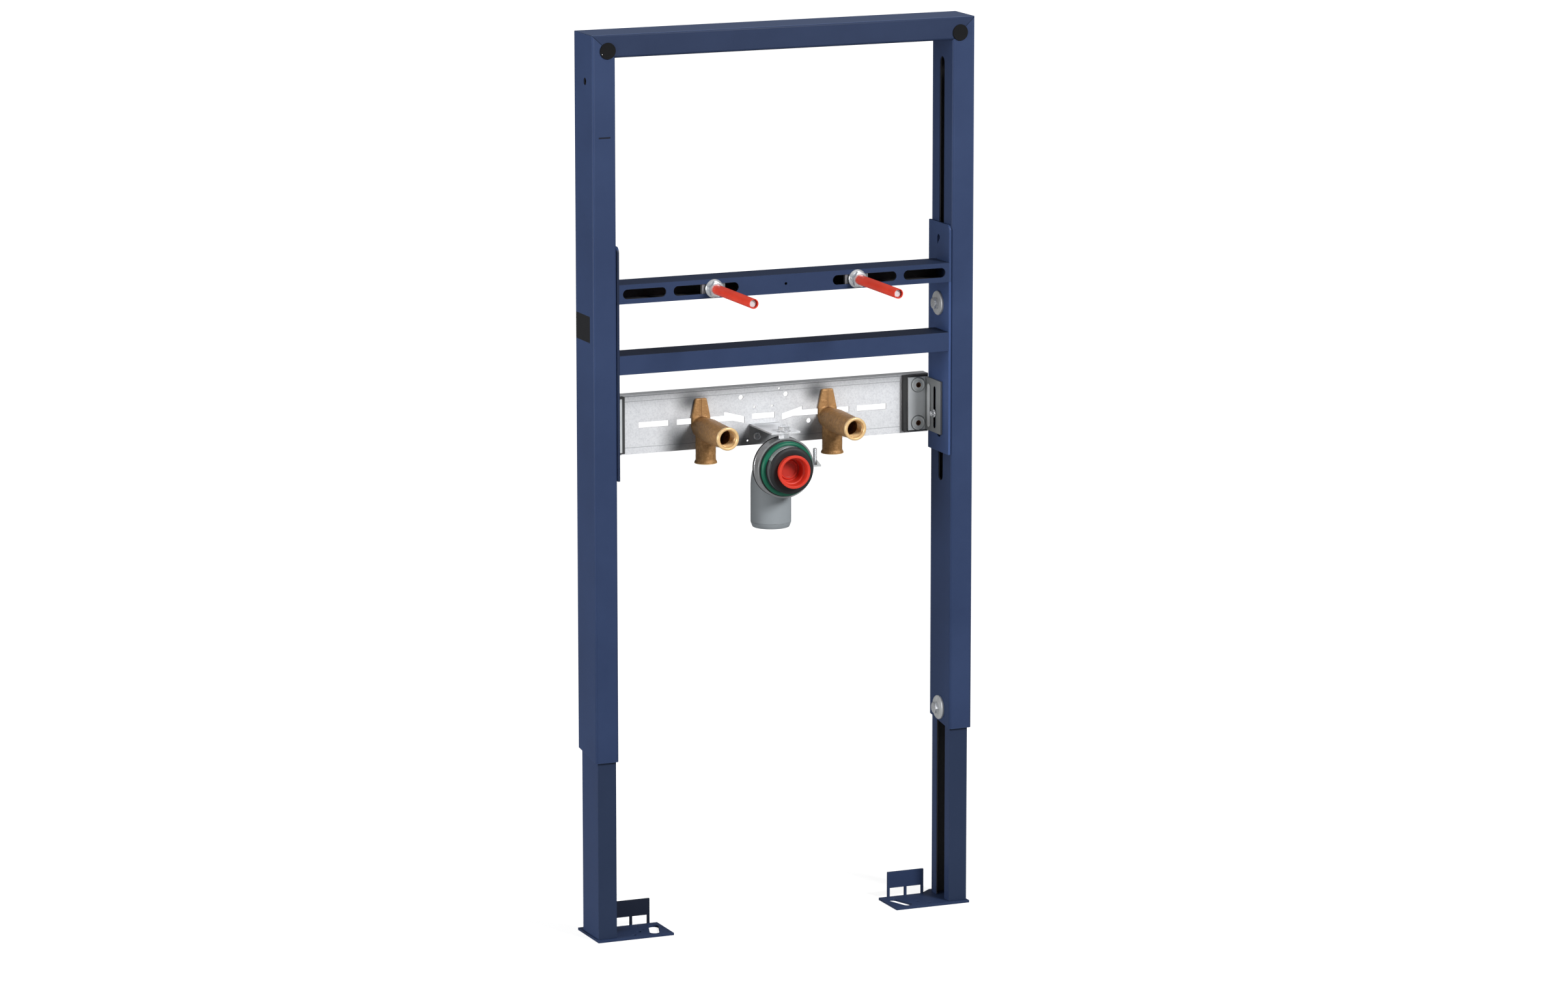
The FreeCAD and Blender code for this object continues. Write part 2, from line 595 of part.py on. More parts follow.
for side, sign in POST_SIDES:
    post_centre = sign * (post_outer - s.post_width / 2.0)
    post = new_body(side + "_post", post_centre, post_middle)
    outline = new_sketch(post, "XY", (s.post_foot + s.frame_height) / 2.0)
    half_wide, half_deep = s.post_width / 2.0, s.post_depth / 2.0
    draw_rounded(outline, -half_wide, -half_deep, half_wide, half_deep, s.post_corner)
    draw_rounded(
        outline, s.tube_wall - half_wide, s.tube_wall - half_deep,
        half_wide - s.tube_wall, half_deep - s.tube_wall, s.post_corner - s.tube_wall,
    )
    grow(post, outline, s.frame_height - s.post_foot)
    mitre = new_sketch(post, "XZ")
    draw_polygon(
        mitre,
        (
            (sign * half_wide, s.frame_height),
            (-sign * half_wide, rail_low),
            (-sign * (half_wide + s.rail_height), rail_low),
            (-sign * (half_wide + s.rail_height), s.frame_height + s.rail_height),
            (sign * half_wide, s.frame_height + s.rail_height),
        ),
    )
    carve(post, mitre)
    slant = new_sketch(post, "YZ")
    draw_polygon(
        slant,
        (
            (-half_deep, s.post_foot), (half_deep, s.post_foot + s.post_slant),
            (half_deep, s.post_foot - s.post_slant), (-half_deep, s.post_foot - s.post_slant),
        ),
    )
    carve(post, slant)
    inner_wall = -sign * (half_wide - s.tube_wall / 2.0)
    long_slot = new_sketch(post, "YZ", inner_wall)
    draw_slot(
        long_slot, s.clamp_back - half_deep, s.post_foot + s.post_slot_rise,
        s.clamp_back - half_deep, s.frame_height - s.post_slot_drop, s.post_slot_width / 2.0,
    )
    carve(post, long_slot, s.tube_wall * 2.0)
    clamp_hole = new_sketch(post, "YZ", inner_wall)
    draw_circle(
        clamp_hole, s.clamp_back - half_deep, lower_clamp_height, s.bolt_radius + s.wall_hole_play
    )
    carve(post, clamp_hole, s.tube_wall * 2.0)
    side_hole = new_sketch(post, "YZ", -inner_wall)
    draw_circle(
        side_hole, s.side_hole_back - half_deep, s.frame_height - s.side_hole_drop, s.side_hole_radius
    )
    carve(post, side_hole, s.tube_wall * 2.0)

top_rail = new_body("top_rail", 0.0, post_middle, s.frame_height - s.rail_height / 2.0)
outline = new_sketch(top_rail, "YZ")
half_high, half_deep = s.rail_height / 2.0, s.post_depth / 2.0
draw_rounded(outline, -half_deep, -half_high, half_deep, half_high, s.post_corner)
draw_rounded(
    outline, s.tube_wall - half_deep, s.tube_wall - half_high,
    half_deep - s.tube_wall, half_high - s.tube_wall, s.post_corner - s.tube_wall,
)
grow(top_rail, outline, s.frame_width)
for side, sign in POST_SIDES:
    mitre = new_sketch(top_rail, "XZ")
    draw_polygon(
        mitre,
        (
            (sign * post_outer, half_high), (sign * post_inner, -half_high),
            (sign * post_inner, -half_high * 2.0), (sign * (post_outer + s.post_width), -half_high * 2.0),
            (sign * (post_outer + s.post_width), half_high),
        ),
    )
    carve(top_rail, mitre)

for side, sign in POST_SIDES:
    cap = new_body(
        side + "_corner_cap", sign * (post_outer - s.cap_inset), front - s.cap_thick / 2.0,
        s.frame_height - s.cap_drop,
    )
    outline = new_sketch(cap, "XZ")
    draw_circle(outline, 0.0, 0.0, s.cap_radius)
    grow(cap, outline, s.cap_thick)

# Clamp bolts with washers and nut plates

def clamp_set(prefix, sign, wall_face, height, nut_face):
    """A hex bolt along X, with its washer on wall_face and its nut plate from nut_face outwards."""
    back = front + s.clamp_back
    washer = new_body(prefix + "_washer", sign * (wall_face - s.washer_thick / 2.0), back, height)
    outline = new_sketch(washer, "YZ")
    draw_circle(outline, 0.0, 0.0, s.washer_radius)
    draw_circle(outline, 0.0, 0.0, s.bolt_radius + s.bolt_play)
    grow(washer, outline, s.washer_thick)
    head_face = wall_face - s.washer_thick
    head_middle = head_face - s.bolt_head_high / 2.0
    bolt = new_body(prefix + "_bolt", sign * head_middle, back, height)
    outline = new_sketch(bolt, "YZ")
    hexagon(outline, 0.0, 0.0, s.bolt_head_flats, flats_up=True)
    grow(bolt, outline, s.bolt_head_high)
    bolt_end = nut_face + s.nut_plate_thick + s.bolt_past_nut
    shank = new_sketch(bolt, "YZ", sign * ((head_middle + bolt_end) / 2.0 - head_middle))
    draw_circle(shank, 0.0, 0.0, s.bolt_radius)
    grow(bolt, shank, bolt_end - head_middle)
    plate = new_body(prefix + "_nut_plate", sign * (nut_face + s.nut_plate_thick / 2.0), back, height)
    outline = new_sketch(plate, "YZ")
    half_back, half_up = s.nut_plate_deep / 2.0, s.nut_plate_high / 2.0
    draw_box(outline, -half_back, -half_up, half_back, half_up)
    draw_circle(outline, 0.0, 0.0, s.bolt_radius + s.bolt_play)
    grow(plate, outline, s.nut_plate_thick)


side_inner = post_inner - s.slide_gap - s.side_thick
leg_inner = post_inner + s.tube_wall + s.slide_gap
for side, sign in POST_SIDES:
    clamp_set(
        side + "_leg_clamp", sign, post_inner, lower_clamp_height,
        leg_inner + s.leg_wall + s.slide_gap,
    )
    clamp_set(
        side + "_crossbar_clamp", sign, side_inner, upper_clamp_height,
        post_inner + s.tube_wall + s.slide_gap,
    )

# Legs and foot plates

for side, sign in POST_SIDES:
    leg_outer = leg_inner + s.leg_width
    leg = new_body(side + "_leg", sign * leg_inner, post_middle)
    outline = new_sketch(leg, "XY", (s.foot_thick + s.leg_top) / 2.0)
    half_deep, half_mouth, wall = s.leg_depth / 2.0, s.leg_mouth / 2.0, s.leg_wall
    far = s.leg_width
    draw_polygon(
        outline,
        (
            (0.0, half_mouth), (0.0, half_deep), (sign * far, half_deep),
            (sign * far, -half_deep), (0.0, -half_deep), (0.0, -half_mouth),
            (sign * wall, -half_mouth), (sign * wall, wall - half_deep),
            (sign * (far - wall), wall - half_deep), (sign * (far - wall), half_deep - wall),
            (sign * wall, half_deep - wall), (sign * wall, half_mouth),
        ),
    )
    grow(leg, outline, s.leg_top - s.foot_thick)

    foot_out = post_outer - s.foot_outer
    foot_in = foot_out - s.foot_long
    foot = new_body(side + "_foot", sign * foot_in, front)
    outline = new_sketch(foot, "XY", s.foot_thick / 2.0)
    plate_back = s.foot_deep - s.foot_front
    lug_back = plate_back + s.foot_lug_deep
    lug_start = s.foot_long - s.foot_lug_flat
    draw_polygon(
        outline,
        (
            (0.0, -s.foot_front), (sign * s.foot_long, -s.foot_front), (sign * s.foot_long, lug_back),
            (sign * lug_start, lug_back), (sign * (lug_start - s.foot_lug_slope), plate_back),
            (0.0, plate_back),
        ),
    )
    grow(foot, outline, s.foot_thick)
    tab = new_sketch(foot, "XZ", plate_back - s.foot_thick / 2.0)
    tab_end = s.foot_tab_inset + s.foot_tab_long
    tab_top = s.foot_thick + s.foot_tab_high
    window_top = s.foot_thick + s.foot_window_high
    draw_polygon(
        tab,
        (
            (sign * s.foot_tab_inset, s.foot_thick / 2.0), (sign * s.foot_tab_inset, tab_top),
            (sign * tab_end, tab_top), (sign * tab_end, s.foot_thick / 2.0),
        ),
    )
    grow(foot, tab, s.foot_thick)
    windows = new_sketch(foot, "XZ", plate_back - s.foot_thick / 2.0)
    tab_centre = s.foot_tab_inset + s.foot_tab_long / 2.0
    for start, end in (
        (s.foot_tab_inset + s.foot_window_post, tab_centre - s.foot_window_post / 2.0),
        (tab_centre + s.foot_window_post / 2.0, tab_end - s.foot_window_post),
    ):
        draw_polygon(
            windows,
            (
                (sign * start, s.foot_thick), (sign * start, window_top),
                (sign * end, window_top), (sign * end, s.foot_thick),
            ),
        )
    carve(foot, windows, s.foot_thick * 2.0)
    openings = new_sketch(foot, "XY", s.foot_thick / 2.0)
    draw_slot(
        openings,
        sign * (s.floor_slot_inset - s.floor_slot_run / 2.0), s.floor_slot_back + s.floor_slot_rise / 2.0,
        sign * (s.floor_slot_inset + s.floor_slot_run / 2.0), s.floor_slot_back - s.floor_slot_rise / 2.0,
        s.floor_slot_width / 2.0,
    )
    draw_circle(openings, sign * s.floor_hole_one, s.floor_hole_one_back, s.floor_hole_radius)
    draw_circle(openings, sign * s.floor_hole_two, s.floor_hole_two_back, s.floor_hole_radius)
    carve(foot, openings, s.foot_thick * 2.0)

# Crossbar unit: side plates and two rails

screw_back = front + s.bracket_slot_back
screw_height = s.side_low + s.bracket_screw_rise
for side, sign in POST_SIDES:
    plate = new_body(side + "_side_plate", sign * (side_inner + s.side_thick / 2.0), front)
    outline = new_sketch(plate, "YZ")
    draw_box(outline, 0.0, s.side_low, s.post_depth, side_high)
    draw_circle(outline, s.clamp_back, upper_clamp_height, s.bolt_radius + s.wall_hole_play)
    draw_circle(outline, s.bracket_slot_back, screw_height, s.bracket_screw_radius + s.bolt_play)
    draw_circle(outline, s.tear_back, side_high - s.tear_drop, s.tear_radius)
    grow(plate, outline, s.side_thick)
    corner = new_sketch(plate, "YZ")
    draw_corner(corner, as_size(0.0), side_high, s.side_corner)
    carve(plate, corner)
    tail = new_sketch(plate, "YZ")
    head_height = side_high - s.tear_drop
    draw_polygon(
        tail,
        (
            (s.tear_back - s.tear_radius * TEAR_TANGENT, head_height - s.tear_radius * TEAR_FALL),
            (s.tear_tip_back, side_high - s.tear_tip_drop),
            (s.tear_back + s.tear_radius, head_height),
            (s.tear_back, head_height),
        ),
    )
    carve(plate, tail)
    short_slots = new_sketch(plate, "YZ")
    slot_start = s.side_low + s.plate_slot_rise
    for back, radius in (
        (s.plate_slot_back, s.plate_slot_radius), (s.thin_slot_back, s.thin_slot_radius),
    ):
        draw_slot(short_slots, back, slot_start, back, slot_start + s.plate_slot_long, radius)
    carve(plate, short_slots)


def draw_bar_section(drawing, high):
    """The section shared by both rails, open at the back between two lips."""
    half, wall, deep = high / 2.0, s.bar_wall, s.bar_depth
    draw_polygon(
        drawing,
        (
            (0.0, -half), (deep, -half), (deep, s.bar_lip - half), (deep - wall, s.bar_lip - half),
            (deep - wall, wall - half), (wall, wall - half), (wall, half - wall),
            (deep - wall, half - wall), (deep - wall, half - s.bar_lip), (deep, half - s.bar_lip),
            (deep, half), (0.0, half),
        ),
    )


for label, rise in (("basin_rail", s.basin_rail_rise), ("lower_rail", s.lower_rail_rise)):
    bar = new_body(label, 0.0, front, s.side_low + rise + s.bar_high / 2.0)
    outline = new_sketch(bar, "YZ")
    draw_bar_section(outline, s.bar_high)
    grow(bar, outline, side_inner * 2.0)
    if label == "basin_rail":
        slots = new_sketch(bar, "XZ", s.bar_wall / 2.0)
        reach = s.basin_slot_width / 2.0
        slot_end = side_inner - s.basin_slot_edge
        slot_far = slot_end - s.basin_slot_long
        for side, sign in POST_SIDES:
            draw_slot(
                slots, sign * (s.basin_slot_near + reach), 0.0,
                sign * (slot_far - s.basin_slot_web - reach), 0.0, reach,
            )
            draw_slot(
                slots, sign * (slot_far + reach), 0.0, sign * (slot_end - reach), 0.0, reach
            )
        draw_circle(slots, 0.0, 0.0, s.basin_centre_hole)
        carve(bar, slots, s.bar_wall * 2.0)

# Basin studs with nuts, clamp plates and red sleeves

stud_height = s.side_low + s.basin_rail_rise + s.bar_high / 2.0
for side, sign in POST_SIDES:
    stud_place = sign * s.stud_spread / 2.0
    stud = new_body(side + "_stud", stud_place, front + (s.stud_back - s.stud_reach) / 2.0, stud_height)
    outline = new_sketch(stud, "XZ")
    draw_circle(outline, 0.0, 0.0, s.stud_radius)
    grow(stud, outline, s.stud_back + s.stud_reach)
    nut = new_body(side + "_stud_nut", stud_place, front, stud_height)
    outline = new_sketch(nut, "XZ", -s.flange_nut_thick / 2.0)
    draw_circle(outline, 0.0, 0.0, s.flange_nut_radius)
    grow(nut, outline, s.flange_nut_thick)
    nut_face = s.flange_nut_thick + s.stud_nut_thick
    outline = new_sketch(nut, "XZ", -nut_face / 2.0)
    hexagon(outline, 0.0, 0.0, s.stud_nut_flats)
    grow(nut, outline, nut_face)
    hole = new_sketch(nut, "XZ", 0.0)
    draw_circle(hole, 0.0, 0.0, s.stud_radius + s.bolt_play)
    carve(nut, hole)
    plate = new_body(
        side + "_clamp_plate", stud_place, front + s.bar_wall + s.clamp_plate_thick / 2.0, stud_height
    )
    outline = new_sketch(plate, "XZ")
    half_long, half_high = s.clamp_plate_long / 2.0, s.clamp_plate_high / 2.0
    draw_box(outline, -half_long, -half_high, half_long, half_high)
    draw_circle(outline, 0.0, 0.0, s.stud_radius + s.bolt_play)
    grow(plate, outline, s.clamp_plate_thick)
    sleeve = new_body(
        side + "_sleeve", stud_place, front - (s.sleeve_reach + nut_face) / 2.0, stud_height
    )
    outline = new_sketch(sleeve, "XZ")
    draw_circle(outline, 0.0, 0.0, s.stud_radius + s.bolt_play + s.sleeve_wall)
    draw_circle(outline, 0.0, 0.0, s.stud_radius + s.bolt_play)
    grow(sleeve, outline, s.sleeve_reach - nut_face)

# Fittings panel with its brackets, pads, grommets and screws

panel = new_body("fittings_panel", 0.0, front + s.panel_back)
outline = new_sketch(panel, "YZ")
draw_polygon(
    outline,
    (
        (0.0, panel_low), (s.panel_flange, panel_low),
        (s.panel_flange, panel_low + s.panel_thick), (s.panel_thick, panel_low + s.panel_thick),
        (s.panel_thick, panel_high - s.panel_thick), (s.panel_flange, panel_high - s.panel_thick),
        (s.panel_flange, panel_high), (0.0, panel_high),
    ),
)
grow(panel, outline, (side_inner + s.panel_past) * 2.0)
bracket_outer = side_inner - s.slide_gap
bracket_inner = bracket_outer - s.bracket_wide
bracket_low = panel_low + s.bracket_margin
bracket_high = panel_high - s.bracket_top_margin
grommet_side = bracket_outer - s.grommet_inset
grommet_low = bracket_low + s.grommet_rise
grommet_high = bracket_high - s.grommet_drop
row_low = panel_low + s.row_rise
row_high = row_low + s.row_wide
wing_top = row_high + s.row_wing_up
wing_low = row_low - s.row_wing_down
slots = new_sketch(panel, "XZ", s.panel_thick / 2.0)
draw_box(slots, -s.row_mid_half, row_low, s.row_mid_half, row_high)
for side, sign in POST_SIDES:
    draw_polygon(
        slots,
        (
            (sign * s.row_one_near, row_low), (sign * s.row_one_far, row_low),
            (sign * s.row_one_far, row_high), (sign * s.row_one_near, row_high),
        ),
    )
    draw_polygon(
        slots,
        (
            (sign * s.row_two_far, row_low), (sign * s.row_two_far, row_high),
            (sign * s.row_two_near, row_high), (sign * s.row_two_near, wing_top),
            (sign * s.row_wing_near, wing_top - s.row_wing_drop),
            (sign * s.row_wing_near, wing_low),
            (sign * (s.row_wing_near + s.row_wing_drop * 2.0), row_low),
        ),
    )
    for hole_side, rise, radius in (
        (s.panel_hole_side, s.panel_hole_rise, s.panel_hole_radius),
        (s.panel_low_hole_side, s.panel_low_hole_rise, s.panel_hole_radius),
        (s.pin_hole_side, s.pin_hole_rise, s.pin_hole_radius),
    ):
        draw_circle(slots, sign * hole_side, panel_low + rise, radius)
    panel_middle = (panel_low + panel_high) / 2.0
    draw_circle(
        slots, sign * s.tool_hole_side, panel_middle + sign * s.tool_hole_offset, s.pin_hole_radius
    )
    for height in (grommet_low, grommet_high):
        draw_circle(slots, sign * grommet_side, height, s.grommet_hole)
draw_circle(
    slots, -s.shelf_screw_side, panel_low + s.shelf_screw_rise, s.shelf_screw_radius + s.bolt_play
)
carve(panel, slots, s.panel_thick * 2.0)

for side, sign in POST_SIDES:
    bracket = new_body(side + "_bracket", 0.0, front)
    outline = new_sketch(bracket, "XY", (bracket_low + bracket_high) / 2.0)
    inner_face = bracket_outer - s.bracket_thick
    flange_back = s.bracket_back + s.bracket_thick
    draw_polygon(
        outline,
        (
            (sign * bracket_inner, s.bracket_back), (sign * inner_face, s.bracket_back),
            (sign * inner_face, s.bracket_front), (sign * bracket_outer, s.bracket_front),
            (sign * bracket_outer, flange_back), (sign * bracket_inner, flange_back),
        ),
    )
    grow(bracket, outline, bracket_high - bracket_low)
    slot_low, slot_high = bracket_low + s.bracket_slot_rise, bracket_high - s.bracket_slot_drop
    rib = new_sketch(bracket, "YZ", sign * (inner_face + (s.bracket_thick - s.bracket_rib_proud) / 2.0))
    draw_slot(
        rib, s.bracket_rib_back, slot_low, s.bracket_rib_back, slot_high, s.bracket_rib_radius
    )
    grow(bracket, rib, s.bracket_thick + s.bracket_rib_proud)
    groove = new_sketch(bracket, "YZ", sign * bracket_outer)
    draw_slot(
        groove, s.bracket_rib_back, slot_low, s.bracket_rib_back, slot_high,
        s.bracket_rib_radius - s.bracket_rib_proud,
    )
    carve(bracket, groove, s.bracket_rib_proud * 2.0)
    slot = new_sketch(bracket, "YZ", sign * (inner_face + s.bracket_thick / 2.0))
    draw_slot(
        slot, s.bracket_slot_back, slot_low, s.bracket_slot_back, slot_high,
        s.bracket_screw_radius + s.slide_gap,
    )
    carve(bracket, slot, s.bracket_thick * 2.0)
    holes = new_sketch(bracket, "XZ", s.bracket_back + s.bracket_thick / 2.0)
    for height in (grommet_low, grommet_high):
        draw_circle(holes, sign * grommet_side, height, s.grommet_hole)
    carve(bracket, holes, s.bracket_thick * 2.0)

    pad = new_body(side + "_pad", 0.0, front + (flange_back + s.panel_back) / 2.0)
    outline = new_sketch(pad, "XZ")
    pad_inner, pad_outer = bracket_inner - s.pad_reach, bracket_outer + s.pad_past
    pad_low, pad_high = bracket_low - s.pad_margin, bracket_high + s.pad_margin
    draw_polygon(
        outline,
        (
            (sign * pad_inner, pad_low), (sign * pad_outer, pad_low),
            (sign * pad_outer, pad_high), (sign * pad_inner, pad_high),
        ),
    )
    for height in (grommet_low, grommet_high):
        draw_circle(outline, sign * grommet_side, height, s.grommet_hole)
    grow(pad, outline, s.panel_back - flange_back)

    for place, height in (("lower", grommet_low), ("upper", grommet_high)):
        grommet = new_body(
            side + "_" + place + "_grommet", sign * grommet_side,
            front + s.bracket_back - s.grommet_proud / 2.0, height,
        )
        outline = new_sketch(grommet, "XZ")
        draw_circle(outline, 0.0, 0.0, s.grommet_radius)
        draw_circle(outline, 0.0, 0.0, s.grommet_hole)
        grow(grommet, outline, s.grommet_proud)

    flange_face = inner_face - s.slide_gap
    flange_middle = flange_face - s.bracket_screw_flange_thick / 2.0
    screw = new_body(side + "_bracket_screw", sign * flange_middle, screw_back, screw_height)
    outline = new_sketch(screw, "YZ")
    draw_circle(outline, 0.0, 0.0, s.bracket_screw_flange)
    grow(screw, outline, s.bracket_screw_flange_thick)
    end_reach = s.bracket_screw_flange_thick / 2.0 + s.bracket_screw_end_long
    round_end = new_sketch(screw, "YZ", -sign * end_reach / 2.0)
    draw_circle(round_end, 0.0, 0.0, s.bracket_screw_end)
    grow(screw, round_end, end_reach)
    shank_end = side_inner + s.side_thick
    shank = new_sketch(screw, "YZ", sign * ((flange_middle + shank_end) / 2.0 - flange_middle))
    draw_circle(shank, 0.0, 0.0, s.bracket_screw_radius)
    grow(screw, shank, shank_end - flange_middle)

# Brass tap elbows

for side, sign in POST_SIDES:
    elbow = new_body(side + "_tap_elbow", sign * s.elbow_side, front, panel_low + s.elbow_rise)
    tab_face = s.panel_back - s.elbow_tab_thick
    barrel = new_sketch(elbow, "YZ")
    barrel_end = tab_face + s.elbow_tab_thick / 2.0
    draw_polygon(
        barrel,
        (
            (-s.elbow_front, 0.0), (-s.elbow_front, s.outlet_radius),
            (s.outlet_collar - s.elbow_front, s.outlet_radius),
            (s.outlet_collar - s.elbow_front, s.outlet_neck),
            (s.elbow_swell, s.barrel_radius), (barrel_end, s.branch_radius), (barrel_end, 0.0),
        ),
    )
    spin(elbow, barrel)
    tab = new_sketch(elbow, "XZ", s.panel_back - s.elbow_tab_thick / 2.0)
    root, top = s.elbow_tab_root, s.elbow_tab_top
    draw_polygon(
        tab,
        (
            (-s.elbow_tab_half_root, 0.0), (s.elbow_tab_half_root, 0.0),
            (s.elbow_tab_half_root, root), (s.elbow_tab_half_top, top),
            (-s.elbow_tab_half_top, top), (-s.elbow_tab_half_root, root),
        ),
    )
    grow(elbow, tab, s.elbow_tab_thick)
    ridge = new_sketch(elbow, "XY", top / 2.0)
    draw_polygon(
        ridge,
        (
            (-s.elbow_crease * 2.0, tab_face), (0.0, tab_face - s.elbow_crease),
            (s.elbow_crease * 2.0, tab_face), (0.0, barrel_end),
        ),
    )
    grow(elbow, ridge, top)
    branch = new_sketch(elbow, "XY", -s.branch_drop / 2.0)
    draw_circle(branch, 0.0, s.elbow_back, s.branch_radius)
    grow(elbow, branch, s.branch_drop)
    rim = new_sketch(elbow, "XY", s.branch_rim_high / 2.0 - s.branch_drop)
    draw_circle(rim, 0.0, s.elbow_back, s.branch_rim)
    grow(elbow, rim, s.branch_rim_high)
    mouth_end = s.elbow_back + s.branch_bore / 2.0
    mouth = new_sketch(elbow, "XZ", (mouth_end - s.elbow_front) / 2.0)
    draw_circle(mouth, 0.0, 0.0, s.outlet_bore)
    carve(elbow, mouth, mouth_end + s.elbow_front)
    throat = new_sketch(elbow, "XY", -s.branch_drop / 2.0)
    draw_circle(throat, 0.0, s.elbow_back, s.branch_bore)
    carve(elbow, throat, s.branch_drop)

# Waste bracket with its screw, hanger bolt and coupling nut

waste_bracket = new_body("waste_bracket", 0.0, front)
outline = new_sketch(waste_bracket, "YZ")
flange_face = s.panel_back - s.waste_bracket_thick
shelf_top = panel_low + s.shelf_rise
shelf_under = shelf_top - s.waste_bracket_thick
flange_low = panel_low + s.waste_flange_rise
draw_polygon(
    outline,
    (
        (s.waste_bracket_front, shelf_under), (flange_face, shelf_under), (flange_face, flange_low),
        (s.panel_back, flange_low), (s.panel_back, shelf_top), (s.waste_bracket_front, shelf_top),
    ),
)
grow(waste_bracket, outline, s.waste_bracket_half * 2.0)
hole = new_sketch(waste_bracket, "XY", shelf_top - s.waste_bracket_thick / 2.0)
draw_circle(hole, 0.0, s.hanger_back, s.hanger_radius + s.bolt_play)
carve(waste_bracket, hole, s.waste_bracket_thick * 2.0)
screw_rise = panel_low + s.shelf_screw_rise
screw_hole = new_sketch(waste_bracket, "XZ", s.panel_back - s.waste_bracket_thick / 2.0)
draw_circle(screw_hole, -s.shelf_screw_side, screw_rise, s.shelf_screw_radius + s.bolt_play)
carve(waste_bracket, screw_hole, s.waste_bracket_thick * 2.0)

shelf_screw = new_body("shelf_screw", -s.shelf_screw_side, front + flange_face, screw_rise)
outline = new_sketch(shelf_screw, "XZ", -s.shelf_screw_high / 2.0)
draw_circle(outline, 0.0, 0.0, s.shelf_screw_head)
grow(shelf_screw, outline, s.shelf_screw_high)
screw_past = s.waste_bracket_thick + s.panel_thick
shank = new_sketch(shelf_screw, "XZ", (screw_past - s.shelf_screw_high / 2.0) / 2.0)
draw_circle(shank, 0.0, 0.0, s.shelf_screw_radius)
grow(shelf_screw, shank, screw_past + s.shelf_screw_high / 2.0)
socket = new_sketch(shelf_screw, "XZ", -s.shelf_screw_high)
hexagon(socket, 0.0, 0.0, s.shelf_screw_socket)
carve(shelf_screw, socket, s.shelf_screw_high)

band_outer = s.clamp_inner + s.lining_thick + s.clamp_thick
band_top = shelf_under - s.hanger_drop
waste_height = band_top - band_outer
hanger = new_body("hanger_bolt", 0.0, front + s.hanger_back)
flange_top = shelf_top + s.hanger_flange_thick
outline = new_sketch(hanger, "XY", shelf_top + s.hanger_flange_thick / 2.0)
draw_circle(outline, 0.0, 0.0, s.hanger_flange_radius)
grow(hanger, outline, s.hanger_flange_thick)
head_top = flange_top + s.hanger_head_high
outline = new_sketch(hanger, "XY", (shelf_top + head_top) / 2.0)
hexagon(outline, 0.0, 0.0, s.hanger_head_flats)
grow(hanger, outline, head_top - shelf_top)
outline = new_sketch(hanger, "XY", (flange_top + band_top) / 2.0)
draw_circle(outline, 0.0, 0.0, s.hanger_radius)
grow(hanger, outline, flange_top - band_top)

coupling = new_body("coupling_nut", 0.0, front + s.hanger_back, (shelf_under + band_top) / 2.0)
outline = new_sketch(coupling, "XY")
hexagon(outline, 0.0, 0.0, s.hanger_nut_flats)
draw_circle(outline, 0.0, 0.0, s.hanger_radius + s.bolt_play)
grow(coupling, outline, s.hanger_drop)

# Pipe clamp with its ear, its side screw and its rubber lining

clamp_middle = front + s.clamp_front + s.clamp_wide / 2.0
clamp = new_body("pipe_clamp", 0.0, clamp_middle, waste_height)
outline = new_sketch(clamp, "XZ")
draw_circle(outline, 0.0, 0.0, band_outer)
grow(clamp, outline, s.clamp_wide)
ear = new_sketch(clamp, "XZ")
ear_end = s.side_screw_out + s.clamp_ear_past
draw_box(ear, s.clamp_inner, s.side_screw_low, ear_end, s.side_screw_low + s.clamp_ear_thick)
grow(clamp, ear, s.clamp_ear_deep)
ear_hole = new_sketch(clamp, "XY", s.side_screw_low)
draw_circle(ear_hole, s.side_screw_out, 0.0, s.side_screw_radius + s.bolt_play)
carve(clamp, ear_hole, s.clamp_ear_thick * 4.0)
inside = new_sketch(clamp, "XZ")
draw_circle(inside, 0.0, 0.0, band_outer - s.clamp_thick)
carve(clamp, inside)

side_screw = new_body("clamp_side_screw", s.side_screw_out, clamp_middle, waste_height)
outline = new_sketch(side_screw, "XY", (s.side_screw_low + s.side_screw_high) / 2.0)
draw_circle(outline, 0.0, 0.0, s.side_screw_radius)
grow(side_screw, outline, s.side_screw_high - s.side_screw_low)

lining_outer = band_outer - s.clamp_thick
clamp_back_end = s.clamp_front + s.clamp_wide
turned_about_y(
    "clamp_lining",
    (
        (s.clamp_front - s.lining_front, s.clamp_inner), (s.clamp_front - s.lining_front, lining_outer),
        (clamp_back_end, lining_outer),
        (clamp_back_end, band_outer + s.lining_rim),
        (clamp_back_end + s.lining_lap, band_outer + s.lining_rim),
        (clamp_back_end + s.lining_lap, s.clamp_inner),
    ),
    front, waste_height,
)

# Grey waste bend with its socket, the rubber collar, clip band, green ring and red plug

bend = new_body("waste_bend", 0.0, front, waste_height)
turn_start = s.bend_back - s.bend_turn
socket_end = s.clamp_front + s.clamp_wide + s.lining_lap
socket = new_sketch(bend, "XZ", (s.bend_start + socket_end) / 2.0)
draw_circle(socket, 0.0, 0.0, s.clamp_inner - s.bolt_play)
grow(bend, socket, socket_end - s.bend_start)


